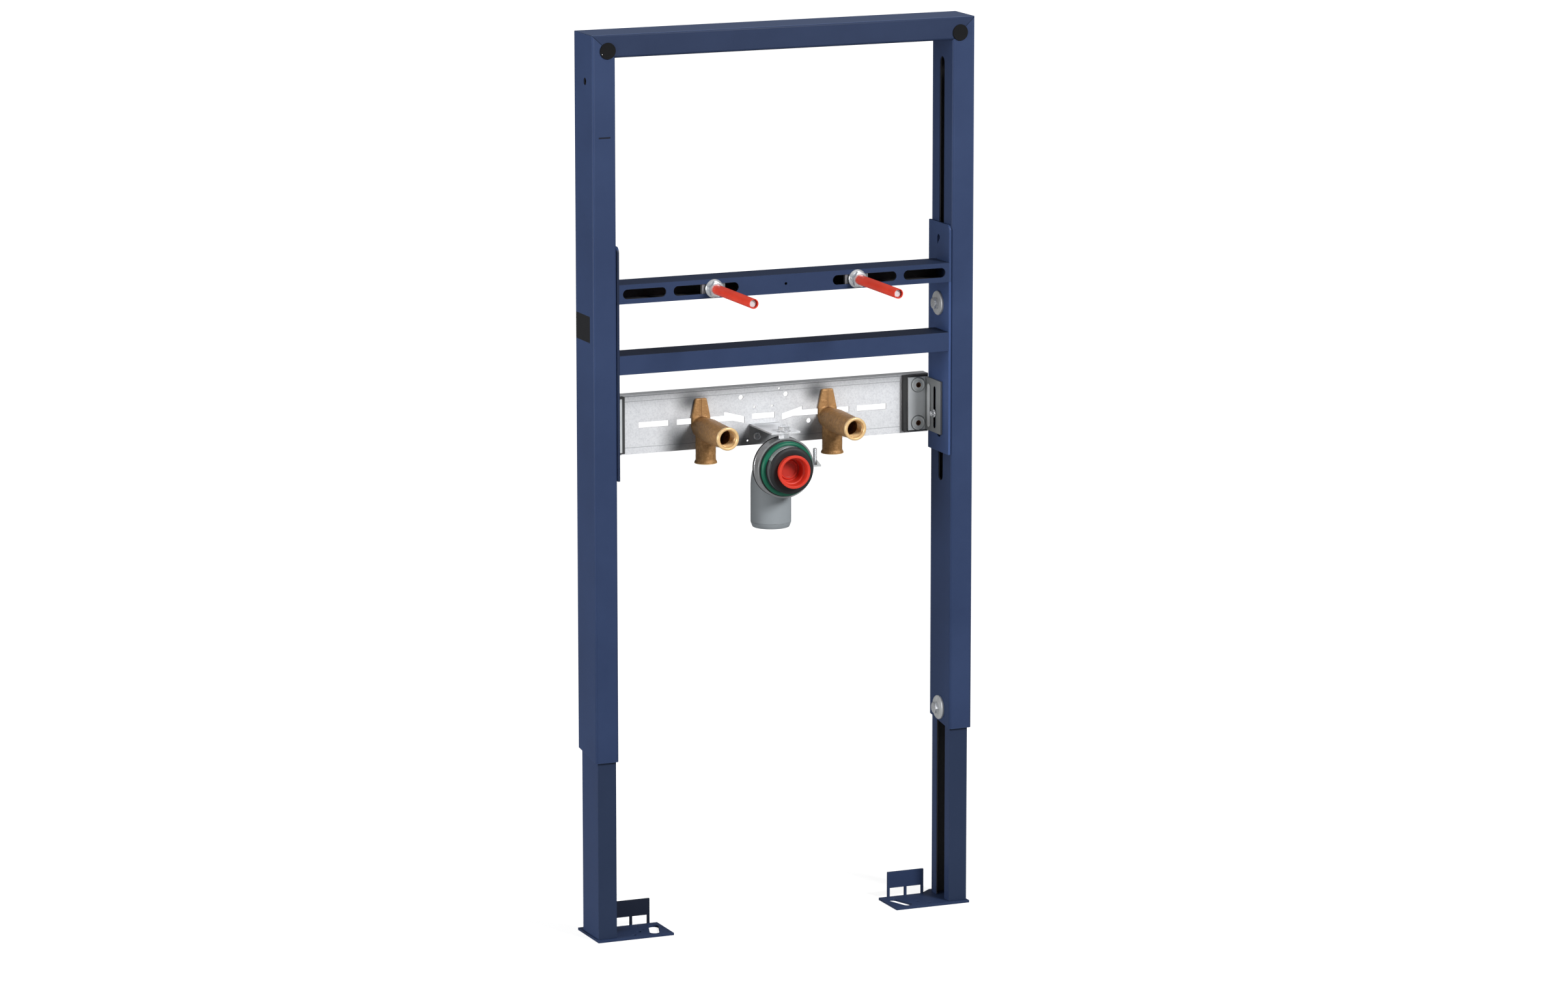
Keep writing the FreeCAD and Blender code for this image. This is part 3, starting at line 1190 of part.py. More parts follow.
def bend_parts(reach, add):
    """Straight neck, quarter turn and upright of one radius, added or cut."""
    neck = new_sketch(bend, "XZ", (s.bend_start + turn_start) / 2.0)
    draw_circle(neck, 0.0, 0.0, reach)
    shape = grow if add else carve
    shape(bend, neck, turn_start - s.bend_start)
    turn = new_sketch(bend, "XZ", turn_start)
    draw_circle(turn, 0.0, 0.0, reach)
    axis = turn.addGeometry(
        Part.LineSegment(point_at(-s.bend_turn, -s.bend_turn), point_at(s.bend_turn, -s.bend_turn)), True
    )
    pin_point(turn, axis, 1, -s.bend_turn, -s.bend_turn)
    pin_point(turn, axis, 2, s.bend_turn, -s.bend_turn)
    spin(bend, turn, "Axis0", not add, 90.0)
    upright_middle = -(s.bend_drop + s.bend_turn) / 2.0
    upright = new_sketch(bend, "XY", upright_middle)
    draw_circle(upright, 0.0, s.bend_back, reach)
    shape(bend, upright, s.bend_drop - s.bend_turn)


bend_parts(s.bend_radius, True)
bend_parts(s.bend_radius - s.bend_wall, False)
taper = new_sketch(bend, "YZ")
upright_face = s.bend_back + s.bend_radius
draw_polygon(
    taper,
    (
        (upright_face - s.bend_taper, -s.bend_drop), (upright_face + s.bend_taper, -s.bend_drop),
        (upright_face + s.bend_taper, s.bend_taper_long * 2.0 - s.bend_drop),
    ),
)
centre_line = taper.addGeometry(
    Part.LineSegment(point_at(s.bend_back, -s.bend_drop), point_at(s.bend_back, -s.bend_turn)), True
)
pin_point(taper, centre_line, 1, s.bend_back, -s.bend_drop)
pin_point(taper, centre_line, 2, s.bend_back, -s.bend_turn)
spin(bend, taper, "Axis0", True)

collar_back = s.bend_start
turned_about_y(
    "rubber_collar",
    (
        (-s.collar_front, s.plug_body_radius + s.bolt_play), (-s.collar_front, s.collar_radius),
        (s.collar_lip - s.collar_front, s.collar_radius), (s.collar_lip - s.collar_front, s.collar_neck),
        (collar_back, s.collar_neck), (collar_back, s.plug_body_radius + s.bolt_play),
    ),
    front, waste_height,
)
turned_about_y(
    "hose_clip",
    (
        (-s.clip_front, s.collar_neck), (-s.clip_front, s.clip_radius),
        (s.clip_wide - s.clip_front, s.clip_radius), (s.clip_wide - s.clip_front, s.collar_neck),
    ),
    front, waste_height,
)
turned_about_y(
    "green_ring",
    (
        (-s.ring_front, s.clamp_inner), (-s.ring_front, s.ring_radius),
        (s.ring_thick - s.ring_front, s.ring_radius), (s.ring_thick - s.ring_front, s.clamp_inner),
    ),
    front, waste_height,
)
turned_about_y(
    "waste_plug",
    (
        (-s.plug_front, s.plug_cup_radius), (-s.plug_front, s.plug_radius),
        (s.plug_rim_thick - s.plug_front, s.plug_radius),
        (s.plug_rim_thick - s.plug_front, s.plug_body_radius),
        (s.plug_cup_deep + s.plug_floor - s.plug_front, s.plug_body_radius),
        (s.plug_cup_deep + s.plug_floor - s.plug_front, 0.0),
        (s.plug_cup_deep - s.plug_front, 0.0), (s.plug_cup_deep - s.plug_front, s.plug_cup_radius),
    ),
    front, waste_height,
)

# Check every object, then write one file for each sub-part

document.recompute()
faults = []
for item in document.Objects:
    if any(state in ("Invalid", "Error") for state in item.State):
        faults.append("%s is %s" % (item.Label, item.State))
for body in made_nodes:
    if body.Shape.isNull() or not body.Shape.isValid() or len(body.Shape.Solids) != 1:
        faults.append("%s has no single valid solid" % body.Label)
if faults:
    raise SystemExit("\n".join(faults))

os.makedirs("parts", exist_ok=True)
for body in made_nodes:
    solid = body.Shape.copy()
    solid.exportStep(os.path.join("parts", body.Label + ".step"))
    box = solid.BoundBox
    print(
        "%-26s volume %10.1f  X %7.1f %7.1f  Y %7.1f %7.1f  Z %7.1f %7.1f"
        % (body.Label, solid.Volume, box.XMin, box.XMax, box.YMin, box.YMax, box.ZMin, box.ZMax)
    )
print(len(made_nodes), "sub-parts written")
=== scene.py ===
# %% [markdown]
# # Basin installation frame
# A blue steel frame that stands in front of a wall and carries a wash basin. The posts, rails and
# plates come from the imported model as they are. Turned, threaded, cast and pressed pieces are made
# here in mesh code, and every piece gets a finish made of nodes.
# Places in the scene are in metres. Profiles, sizes and tints are in millimetres. X runs right,
# Y away from the viewer and Z up from the floor.

# %% Load the fixed frame
import math

import bmesh
import bpy
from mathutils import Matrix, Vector


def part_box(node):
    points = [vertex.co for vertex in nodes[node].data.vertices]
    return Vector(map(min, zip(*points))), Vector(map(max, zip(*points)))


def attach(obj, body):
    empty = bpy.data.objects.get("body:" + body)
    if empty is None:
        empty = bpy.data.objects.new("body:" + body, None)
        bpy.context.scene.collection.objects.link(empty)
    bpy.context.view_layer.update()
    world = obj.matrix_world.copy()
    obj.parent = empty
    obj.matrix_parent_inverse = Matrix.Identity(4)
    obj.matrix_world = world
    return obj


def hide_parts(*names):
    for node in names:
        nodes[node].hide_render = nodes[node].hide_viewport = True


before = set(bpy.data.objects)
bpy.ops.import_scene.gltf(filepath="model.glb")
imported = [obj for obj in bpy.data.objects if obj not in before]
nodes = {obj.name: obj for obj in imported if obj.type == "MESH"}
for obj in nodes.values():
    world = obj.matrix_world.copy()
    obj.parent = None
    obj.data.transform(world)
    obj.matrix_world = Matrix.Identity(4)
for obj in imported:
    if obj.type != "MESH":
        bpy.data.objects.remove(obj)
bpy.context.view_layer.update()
SIDES = {"left": -1, "right": 1}
MM = 0.001
TURN = 2 * math.pi
RIGHT, BACK, UP = Vector((1, 0, 0)), Vector((0, 1, 0)), Vector((0, 0, 1))
FRONT = -BACK


# %% [markdown]
# Most small pieces are round about one axis, and are turned on a real bench, so a half profile
# spun round an axis is the natural way. A profile lists (along, radius), and a third number rounds
# that corner. Round corners matter more than anything: a sharp edge never catches a highlight.

# %% Rounding the corners of a profile
def rounded(points, closed=True, steps=3):
    """Replace each corner that has a third number by a small arc of that radius."""
    result = []
    count = len(points)
    for index, point in enumerate(points):
        here = Vector(point[:2])
        size = point[2] if len(point) > 2 else 0
        inside = closed or 0 < index < count - 1
        before = Vector(points[index - 1][:2])
        after = Vector(points[(index + 1) % count][:2])
        if not size or not inside:
            result.append(tuple(here))
            continue
        one, two = before - here, after - here
        size = min(size, one.length * 0.45, two.length * 0.45)
        start, end = here + one.normalized() * size, here + two.normalized() * size
        for step in range(steps + 1):
            t = step / steps
            result.append(tuple(start.lerp(here, t).lerp(here.lerp(end, t), t)))
    return result


print(len(rounded(((0, 0, 1), (9, 0, 1), (9, 9, 1)))), "points on a rounded triangle")


# %% [markdown]
# Every mesh below is a grid of points, joined to their neighbours by four-cornered faces. Wrapping
# its columns closes a turned part, and wrapping its rows closes a profile.

# %% Meshes, grids and the lathe
def in_scene(name, data):
    """A new object in the scene."""
    piece = bpy.data.objects.new(name, data)
    bpy.context.scene.collection.objects.link(piece)
    return piece


def weld(mesh, distance, outward=False):
    """Join points that lie together, and turn all faces outwards if asked."""
    shape = bmesh.new()
    shape.from_mesh(mesh)
    bmesh.ops.remove_doubles(shape, verts=shape.verts, dist=distance)
    if outward:
        bmesh.ops.recalc_face_normals(shape, faces=shape.faces)
    shape.to_mesh(mesh)
    shape.free()


def modify(piece, kind, **settings):
    """Add a modifier with its settings."""
    step = piece.modifiers.new(kind.lower(), kind)
    for name, value in settings.items():
        setattr(step, name, value)


def new_piece(name, vertices, faces, sharp=32):
    """A smooth-shaded object from vertices in metres, with edges sharp above an angle."""
    mesh = bpy.data.meshes.new(name)
    mesh.from_pydata([tuple(v) for v in vertices], [], faces)
    mesh.validate()
    weld(mesh, 1e-7, True)
    mesh.shade_smooth()
    mesh.set_sharp_from_angle(angle=math.radians(sharp))
    return in_scene(name, mesh)


def joined(name, *pieces):
    """Join several meshes into one piece."""
    vertices, faces = [], []
    for piece in pieces:
        first = len(vertices)
        old = piece.data
        vertices += [tuple(v.co) for v in old.vertices]
        faces += [tuple(first + i for i in face.vertices) for face in old.polygons]
        bpy.data.objects.remove(piece)
        bpy.data.meshes.remove(old)
    return new_piece(name, vertices, faces)


def axes_for(axis):
    """An axis and two directions square to it."""
    along = Vector(axis).normalized()
    helper = UP if abs(along.z) < 0.9 else RIGHT
    across = helper.cross(along).normalized()
    return along, across, along.cross(across)


def around_axis(centre, axes, along, reach, turn):
    """The point at a distance along an axis and a reach away from it, turned round it."""
    way, across, upward = axes
    out = across * math.cos(turn) + upward * math.sin(turn)
    return Vector(centre) + way * along * MM + out * reach * MM


def grid(columns, rows, wrap_columns=False, wrap_rows=False):
    """The faces between neighbours in columns of points, which are listed column by column."""
    faces = []
    for column in range(columns if wrap_columns else columns - 1):
        here, there = column * rows, (column + 1) % columns * rows
        for row in range(rows if wrap_rows else rows - 1):
            above = (row + 1) % rows
            faces.append((here + row, here + above, there + above, there + row))
    return faces


def lathe(name, profile, centre, axis, around=72, closed=True):
    """Spin a profile of (along, radius, rounding) round an axis through centre."""
    axes = axes_for(axis)
    profile = rounded(profile, closed)
    vertices = [
        around_axis(centre, axes, along, radius, TURN * column / around)
        for column in range(around) for along, radius in profile
    ]
    return new_piece(name, vertices, grid(around, len(profile), True, closed))


print("a ring of 6 by 4 points has", len(grid(6, 4, True, True)), "faces")


# %% [markdown]
# Screw threads are what makes a fastener look real. A thread is one ridge that winds round the
# rod, so the radius depends on the height and the turn together. Making it as a grid of rings,
# with the ridge's phase moved on as the ring goes round, gives a true helix at little cost.
# A hexagon head gets its curved chamfers from a drop that grows towards each corner.

# %% Threaded rods and hexagon heads
THREAD_DEPTH = 0.55     # of the pitch
CREST = 1.25            # how much of the ridge is cut flat at its top
HEAD_COLUMNS = 72
FACE_SHARE = 0.475      # radius of a head's flat face, of the width across its flats
HOLE_CHAMFER = 0.5


def threaded_rod(name, radius, pitch, length, base, axis, around=28, per_turn=6):
    """A rod with a helical ridge, from base along the axis, with chamfered ends."""
    axes = axes_for(axis)
    rings = max(2, int(length / pitch * per_turn))
    depth = THREAD_DEPTH * pitch
    vertices = []
    for ring in range(rings + 1):
        along = length * ring / rings
        to_end = min(along, length - along)
        for column in range(around):
            turn = column / around
            phase = (along / pitch - turn) % 1
            ridge = 1 - abs(2 * phase - 1)
            reach = radius - depth * (1 - min(1, ridge * CREST))
            reach = min(reach, radius - depth + to_end)
            vertices.append(around_axis(base, axes, along, reach, turn * TURN))
    faces = grid(rings + 1, around, False, True)
    faces.append(tuple(reversed(range(around))))
    faces.append(tuple(rings * around + column for column in range(around)))
    return new_piece(name, vertices, faces, 40)


def hex_head(name, flats, height, base, axis, hole=0, crown=0, turn=0, both=False):
    """A hexagon with chamfered corners above, and below too if both; a hole goes through it."""
    axes = axes_for(axis)
    face_radius, slope = flats * FACE_SHARE, math.tan(math.radians(30))
    vertices = []
    for column in range(HEAD_COLUMNS):
        angle = TURN * column / HEAD_COLUMNS
        sector = (angle + TURN / 12) % (TURN / 6) - TURN / 12
        reach = min(flats / 2 / math.cos(sector), flats / math.sqrt(3) * 0.995)
        drop = max(0, (reach - flats / 2) * slope) + 0.12
        profile = [(0, face_radius if both else reach), (drop if both else 0, reach),
                   (height - drop, reach), (height, face_radius)]
        if hole:
            profile += [(height, hole + HOLE_CHAMFER), (height - HOLE_CHAMFER, hole),
                        (HOLE_CHAMFER, hole), (0, hole + HOLE_CHAMFER)]
        else:
            profile += [(height + crown * 0.7, face_radius * 0.6), (height + crown, face_radius * 0.05)]
        vertices += [around_axis(base, axes, along, radius, angle + turn) for along, radius in profile]
    rows = len(profile)
    faces = grid(HEAD_COLUMNS, rows, True, bool(hole))
    if not hole:
        faces.append(tuple(column * rows for column in reversed(range(HEAD_COLUMNS))))
        faces.append(tuple(column * rows + rows - 1 for column in range(HEAD_COLUMNS)))
    return new_piece(name, vertices, faces, 28)


print("threads and heads ready")


# %% [markdown]
# ## Finishes
# An effect that several finishes share is a node group with named sockets: it is built once and
# placed with its own numbers. The groups here give only masks, heights and colours that vary over
# the surface. Numbers that are the same all over go straight onto the shader.

# %% A small builder for node groups and materials
KINDS = {1: "NodeSocketFloat", 3: "NodeSocketVector", 4: "NodeSocketColor"}


def fill(tree, socket, value):
    """Link another node's output into a socket, or set the socket to a plain value."""
    if isinstance(value, bpy.types.NodeSocket):
        tree.links.new(value, socket)
    else:
        socket.default_value = value


def add(tree, kind, *inputs, **values):
    """Add a shader node. Inputs fill its sockets in order; values name a property or a socket."""
    node = tree.nodes.new("ShaderNode" + kind)
    for name, value in values.items():
        if hasattr(node, name):
            setattr(node, name, value)
        else:
            fill(tree, node.inputs[name.replace("_", " ")], value)
    for socket, value in zip(node.inputs, inputs):
        fill(tree, socket, value)
    return node


def maths(tree, operation, *inputs, clamp=False):
    """The output of one step of arithmetic."""
    return add(tree, "Math", *inputs, operation=operation, use_clamp=clamp).outputs[0]


def vector_maths(tree, operation, *inputs, out="Vector"):
    """The output of one step with vectors."""
    return add(tree, "VectorMath", *inputs, operation=operation).outputs[out]


def blend(tree, factor, first, second):
    """The mix of two colours."""
    return add(tree, "Mix", data_type="RGBA", Factor=factor, A=first, B=second).outputs["Result"]


def own_place(tree):
    """The surface point in the piece's own coordinates, which move with the piece."""
    return add(tree, "TexCoord").outputs["Object"]


def remap(tree, value, to, start=(0, 1), **how):
    """A value moved from one range to another."""
    return add(tree, "MapRange", Value=value, From_Min=start[0], From_Max=start[1], To_Min=to[0],
               To_Max=to[1], **how).outputs["Result"]


def new_group(name, results, **inputs):
    """A shader node group with named sockets, each input of the kind that its default is.

    It comes with the values it is given and a function that delivers its results.
    """
    group = bpy.data.node_groups.new(name, "ShaderNodeTree")
    for label, default in inputs.items():
        kind = KINDS[len(default) if isinstance(default, tuple) else 1]
        group.interface.new_socket(name=label, in_out="INPUT", socket_type=kind).default_value = default
    for label in results:
        kind = KINDS[4 if label == "Color" else 1]
        group.interface.new_socket(name=label, in_out="OUTPUT", socket_type=kind)
    given = group.nodes.new("NodeGroupInput").outputs
    leave = group.nodes.new("NodeGroupOutput")

    def deliver(**results):
        for label, value in results.items():
            fill(group, leave.inputs[label], value)
    return group, given, deliver


def colour(red, green, blue):
    """An opaque colour from 0 to 255 screen values."""
    def linear(value):
        value /= 255
        return value / 12.92 if value <= 0.04045 else ((value + 0.055) / 1.055) ** 2.4
    return (linear(red), linear(green), linear(blue), 1)


print("powder blue is", [round(v, 3) for v in colour(58, 74, 110)])


# %% [markdown]
# Three effects come back everywhere. *Mottle* is a slow change from one tone to another, which
# any sprayed, cast or moulded surface has. *Grain* is a fine height for the Bump node. *Edge*
# compares the true normal with one rounded over a small distance: they differ only near edges.
# The edge tone there is partly wear, where paint runs thin and metal is rubbed bright, and partly
# painted light: the bright or dark line that a rounded edge shows under the lamps.
# Two more say where a point lies. *Region* knows an upright box and a ball, and *seam* a thin
# slice. Shadows in corners, printed patches and the lines of joints are tinted with them.

# %% Mottle, grain, edge, region and seam groups
def make_mottle():
    group, given, deliver = new_group(
        "mottle", ("Color", "Fac"), Scale=20, Contrast=1, First=(0, 0, 0, 1), Second=(1, 1, 1, 1)
    )
    noise = add(group, "TexNoise", Vector=own_place(group), Scale=given["Scale"],
                Detail=5, Roughness=0.6)
    centred = maths(group, "SUBTRACT", noise.outputs["Fac"], 0.5)
    spread = maths(group, "MULTIPLY_ADD", centred, given["Contrast"], 0.5, clamp=True)
    deliver(Color=blend(group, spread, given["First"], given["Second"]), Fac=spread)
    return group


def make_grain():
    group, given, deliver = new_group("grain", ["Height"], Scale=900, Stretch=(1, 1, 1), Detail=3)
    stretched = vector_maths(group, "MULTIPLY", own_place(group), given["Stretch"])
    noise = add(group, "TexNoise", Vector=stretched, Scale=given["Scale"], Detail=given["Detail"])
    deliver(Height=noise.outputs["Fac"])
    return group


def make_edge():
    group, given, deliver = new_group("edge", ["Mask"], Width=0.0008, Amount=1)
    soft = add(group, "Bevel", samples=4, Radius=given["Width"])
    true = add(group, "NewGeometry")
    same = vector_maths(group, "DOT_PRODUCT", soft.outputs["Normal"], true.outputs["Normal"], out="Value")
    turned = maths(group, "SUBTRACT", 1, same)
    deliver(Mask=maths(group, "MULTIPLY", turned, given["Amount"], clamp=True))
    return group


def make_region():
    """Where a surface point lies: in an upright box, in a ball, and how near to the ball's middle.

    With Mirror at one, the mirror image across the middle of the frame counts as well.
    """
    group, given, deliver = new_group(
        "region", ("Box", "Ball", "Fade"), Middle=(0, 0, 0), Half=(0.01, 0.01, 0.01), Mirror=1
    )
    place = own_place(group)
    chosen = add(group, "Mix", data_type="VECTOR", Factor=given["Mirror"], A=place,
                 B=vector_maths(group, "ABSOLUTE", place))
    offset = vector_maths(group, "SUBTRACT", chosen.outputs["Result"], given["Middle"])
    scaled = vector_maths(group, "DIVIDE", offset, given["Half"])
    parts = add(group, "SeparateXYZ", vector_maths(group, "ABSOLUTE", scaled)).outputs
    most = maths(group, "MAXIMUM", maths(group, "MAXIMUM", parts["X"], parts["Y"]), parts["Z"])
    reach = vector_maths(group, "LENGTH", scaled, out="Value")
    deliver(Box=maths(group, "LESS_THAN", most, 1), Ball=maths(group, "LESS_THAN", reach, 1),
            Fade=remap(group, reach, (1, 0), interpolation_type="SMOOTHSTEP"))
    return group


def make_seam():
    """One on a thin flat slice through a point, square to a direction, mirrored across the middle."""
    group, given, deliver = new_group("seam", ["Mask"], Through=(0, 0, 0), Across=(1, 0, 0), Width=0.0004)
    mirrored = vector_maths(group, "ABSOLUTE", own_place(group))
    offset = vector_maths(group, "SUBTRACT", mirrored, given["Through"])
    distance = vector_maths(group, "DOT_PRODUCT", offset, given["Across"], out="Value")
    deliver(Mask=maths(group, "LESS_THAN", maths(group, "ABSOLUTE", distance), given["Width"]))
    return group


mottle, grain, edge = make_mottle(), make_grain(), make_edge()
region, seam = make_region(), make_seam()
print("groups:", [g.name for g in bpy.data.node_groups])


# %% [markdown]
# Each finish starts the same way: two tones mixed by the mottle, a lighter or darker edge, a
# roughness that wanders a little and a fine grain in the normal. One builder makes that base, and
# the numbers tell paint from rubber from cast brass. Tones are written as 0 to 255 screen values.

# %% The base of every finish, and the tints
def new_material(name, metal):
    material = bpy.data.materials.new(name)
    material.use_nodes = True
    shader = material.node_tree.nodes["Principled BSDF"]
    shader.inputs["Metallic"].default_value = metal
    return material, material.node_tree, shader


def feed(tree, shader, base, gloss, height, deep, high):
    """Lead a colour, a roughness and a height for the bump into a shader."""
    bump = add(tree, "Bump", Strength=deep, Distance=high * MM, Height=height)
    for label, value in (("Base Color", base), ("Roughness", gloss), ("Normal", bump.outputs["Normal"])):
        fill(tree, shader.inputs[label], value)


def finish(name, first, second, edge_tone, rough=(0.4, 0.5), metal=0, specular=0.5, scale=20,
           contrast=2, fine=900, deep=0.15, high=0.2, stretch=(1, 1, 1), rim=0.8, edge_rub_and_light=1, wear_and_light=0.6):
    """A material from two tones, edges toned for wear and painted light, uneven gloss and grain.

    Scale and contrast are the mottle's. Fine, deep, high and stretch are the grain's scale,
    strength, height and direction. The last three say how wide, how much and how far towards
    the edge tone the edges go: partly wear, partly painted light where a rounded edge meets the lamps.
    """
    material, tree, shader = new_material(name, metal)
    shader.inputs["Specular IOR Level"].default_value = specular
    tones = add(tree, "Group", node_tree=mottle, Scale=scale, Contrast=contrast,
                First=colour(*first), Second=colour(*second)).outputs
    # Edge tone: partly wear, partly painted light on the rounded edges.
    mask = add(tree, "Group", node_tree=edge, Width=rim * MM, Amount=edge_rub_and_light).outputs["Mask"]
    base = blend(tree, maths(tree, "MULTIPLY", mask, wear_and_light), tones["Color"], colour(*edge_tone))
    bumps = add(tree, "Group", node_tree=grain, Scale=fine, Stretch=stretch).outputs["Height"]
    feed(tree, shader, base, remap(tree, tones["Fac"], rough), bumps, deep, high)
    return material


def tint(material, mask, tone, much=1):
    """Mix a tone into a finish's colour where a mask says so."""
    tree = material.node_tree
    base = tree.nodes["Principled BSDF"].inputs["Base Color"]
    before = base.links[0].from_socket
    fill(tree, base, blend(tree, maths(tree, "MULTIPLY", mask, much), before, colour(*tone)))


def tint_region(material, middle, half, tone, shape="Box", much=1, mirror=True):
    """Tint a box or a ball by its middle and half size; Fade is a ball that dies away outwards."""
    place = add(material.node_tree, "Group", node_tree=region, Middle=Vector(middle) * MM,
                Half=Vector(half) * MM, Mirror=float(mirror))
    tint(material, place.outputs[shape], tone, much)


def shade_box(material, low, high, tone, much=1, mirror=True):
    """Tint the box between two corners."""
    low, high = Vector(low), Vector(high)
    tint_region(material, (low + high) / 2, (high - low) / 2, tone, "Box", much, mirror)


def shade_seam(material, through, across, width, tone, much=1):
    """Tint a thin slice: the line a joint leaves in the paint."""
    place = add(material.node_tree, "Group", node_tree=seam, Through=Vector(through) * MM,
                Across=Vector(across).normalized(), Width=width * MM / 2)
    tint(material, place.outputs["Mask"], tone, much)


def paint(material, *pieces):
    """Give pieces or nodes one finish all over."""
    for piece in pieces:
        target = nodes[piece] if isinstance(piece, str) else piece
        target.data.materials.clear()
        target.data.materials.append(material)


print("finishes can be mixed and tinted")


# %% [markdown]
# The blue powder coat is one recipe at several levels: each part of the frame keeps the tone it
# was seen in, so a level paints in the light or shade that falls on that part. Tints give painted
# shade inside the tubes, the line of the mitre, the label's bare dark patch, and painted shadow in the folds.

# %% Powder-coated steel
def blue_paint(name, level=1, rim=0.7, wear_and_light=0.5):
    """The frame's dark blue powder coat; level makes one piece's coat darker or lighter, painting in the
    light on that piece.
    """
    tones = [[value * level for value in tone] for tone in ((43, 58, 91), (50, 66, 101), (92, 112, 154))]
    return finish(
        name, *tones, rough=(0.46, 0.56), specular=0.16, scale=9, fine=1400, deep=0.12, rim=rim, edge_rub_and_light=1.3,
        wear_and_light=wear_and_light,
    )


# A plain grey painted inside tubes and channels in place of the blue, as shade.
DARK_INSIDE = (84, 84, 88)
DARK_LINE = (18, 22, 34)
# Each level paints in the light or shade that falls on that part.
coats = {
    "post": blue_paint("blue_post_coat", 0.97, 1.6, 0.4),
    "labelled": blue_paint("blue_post_coat_with_label", 0.97, 1.6, 0.4),
    "top": blue_paint("blue_top_coat", 0.82, 1.4, 0.4), "basin": blue_paint("blue_basin_rail_coat", 0.92),
    "lower": blue_paint("blue_lower_rail_coat", 0.94), "leg": blue_paint("blue_leg_coat", 0.94),
    "foot": blue_paint("blue_foot_coat", 0.9), "plate": blue_paint("blue_plate_coat", 1.3),
}
# Painted shade inside the posts, and the mitre's joint line.
for coat in (coats["post"], coats["labelled"]):
    shade_box(coat, (221, 20, 225), (249, 77, 1081), DARK_INSIDE)
    shade_seam(coat, (250, 18.5, 1110), (28, 0, -30), 0.7, DARK_LINE, 0.8)
# The label's patch and a short line above it are on the left post only.
shade_box(coats["labelled"], (-251, 30.5, 739), (-249.5, 79.5, 771), (28, 29, 32), mirror=False)
shade_box(coats["labelled"], (-242, 18, 986.3), (-227, 18.9, 988.1), DARK_LINE, mirror=False)
# Painted shade inside the basin rail and on the upper faces of the basin and lower rails; painted light on
# the top rail's upper face.
shade_box(coats["basin"], (0, 20, 786.4), (260, 62, 808.1), DARK_INSIDE)
shade_box(coats["basin"], (0, 18, 808.7), (260, 62, 810), (34, 44, 66), 0.6)
shade_box(coats["lower"], (0, 18, 722.7), (260, 62, 724), (24, 32, 50), 0.88)
shade_box(coats["top"], (0, 18, 1109.6), (251, 80, 1111), (84, 98, 130), 0.8)
# Painted shade inside the legs' channels and on their fronts.
shade_box(coats["leg"], (223, 23.5, 3.5), (245.5, 73.5, 424), DARK_INSIDE)
shade_box(coats["leg"], (222, 22, 3), (247, 22.9, 424), (34, 44, 62), 0.55)
# Side plates: painted shade above the rails, on the left one's front edge, and behind the brackets' slots.
shade_box(coats["plate"], (216, 18, 785), (220, 80, 856), (40, 52, 76), 0.45)
shade_box(coats["plate"], (-221, 18, 569), (-216, 19.3, 856), (20, 25, 38), 0.8, mirror=False)
shade_box(coats["plate"], (216, 50.2, 601.5), (217.2, 56.8, 646.5), (12, 13, 18))
# The left foot: painted shade on its tab, a painted shadow on its plate, and dark spots by the corners of its
# floor slot, painted shade standing in for small holes.
shade_box(coats["foot"], (-210, 69.5, 4), (-159, 74, 36), (20, 22, 28), 0.75, mirror=False)
tint_region(coats["foot"], (-226, 62, 3), (46, 26, 6), DARK_LINE, "Fade", 0.85, mirror=False)
SPOT = (1.1, 1.1, 1.1)
for across, back in ((-179.4, 62), (-178.4, 46.2), (-153.5, 45.4), (-152.8, 28.3)):
    tint_region(coats["foot"], (across, back, 3), SPOT, DARK_LINE, "Ball", mirror=False)
print(len(coats), "blue coats")

# %% [markdown]
# Plastics and rubber differ in gloss more than in colour. The red tube has long fine streaks from
# being drawn, and the grey pipe has the same upright, so their grain is stretched.

# %% Plastics and rubber
black_plastic = finish(
    "black_moulding", (12, 13, 15), (18, 19, 21), (40, 42, 46),
    rough=(0.55, 0.68), scale=60, fine=1800, deep=0.2, rim=0.4, wear_and_light=0.4,
    specular=0.12,
)
CAP_GLINT = (-237.4, 17.1, 1087.3), (0.45, 0.6, 0.45)
tint_region(black_plastic, *CAP_GLINT, (232, 234, 236), "Ball", mirror=False)
red_sleeve = finish(
    "red_tube", (206, 56, 36), (222, 68, 46), (232, 96, 72),
    rough=(0.42, 0.52), scale=40, fine=700, stretch=(1, 0.08, 1), deep=0.1,
    specular=0.3,
)
red_plug = finish(
    "red_plug_moulding", (200, 50, 34), (214, 62, 44), (234, 100, 80),
    rough=(0.4, 0.5), scale=50, fine=1300, deep=0.12, specular=0.3,
)
# Painted shade on the floor of the plug's cup.
CUP_FLOOR = (0, 12.5, 570), (15, 4.5, 15)
tint_region(red_plug, *CUP_FLOOR, (142, 36, 30), "Ball", 0.5)
black_rubber = finish(
    "black_rubber", (26, 27, 29), (33, 34, 36), (52, 54, 58),
    rough=(0.48, 0.62), scale=80, fine=1600, deep=0.25, rim=0.6,
    specular=0.35,
)
pad_rubber = finish(
    "pad_rubber", (44, 45, 46), (54, 55, 56), (86, 88, 90),
    rough=(0.5, 0.68), scale=80, fine=1600, deep=0.3,
)
green_rubber = finish(
    "green_seal", (8, 88, 66), (12, 104, 78), (44, 140, 108),
    rough=(0.32, 0.42), scale=60, fine=1500, specular=0.35,
)
grey_pipe = finish(
    "grey_pipe", (138, 144, 148), (146, 152, 156), (176, 180, 183),
    rough=(0.46, 0.56), scale=18, fine=260, stretch=(1, 1, 0.04), deep=0.08,
    specular=0.2,
)
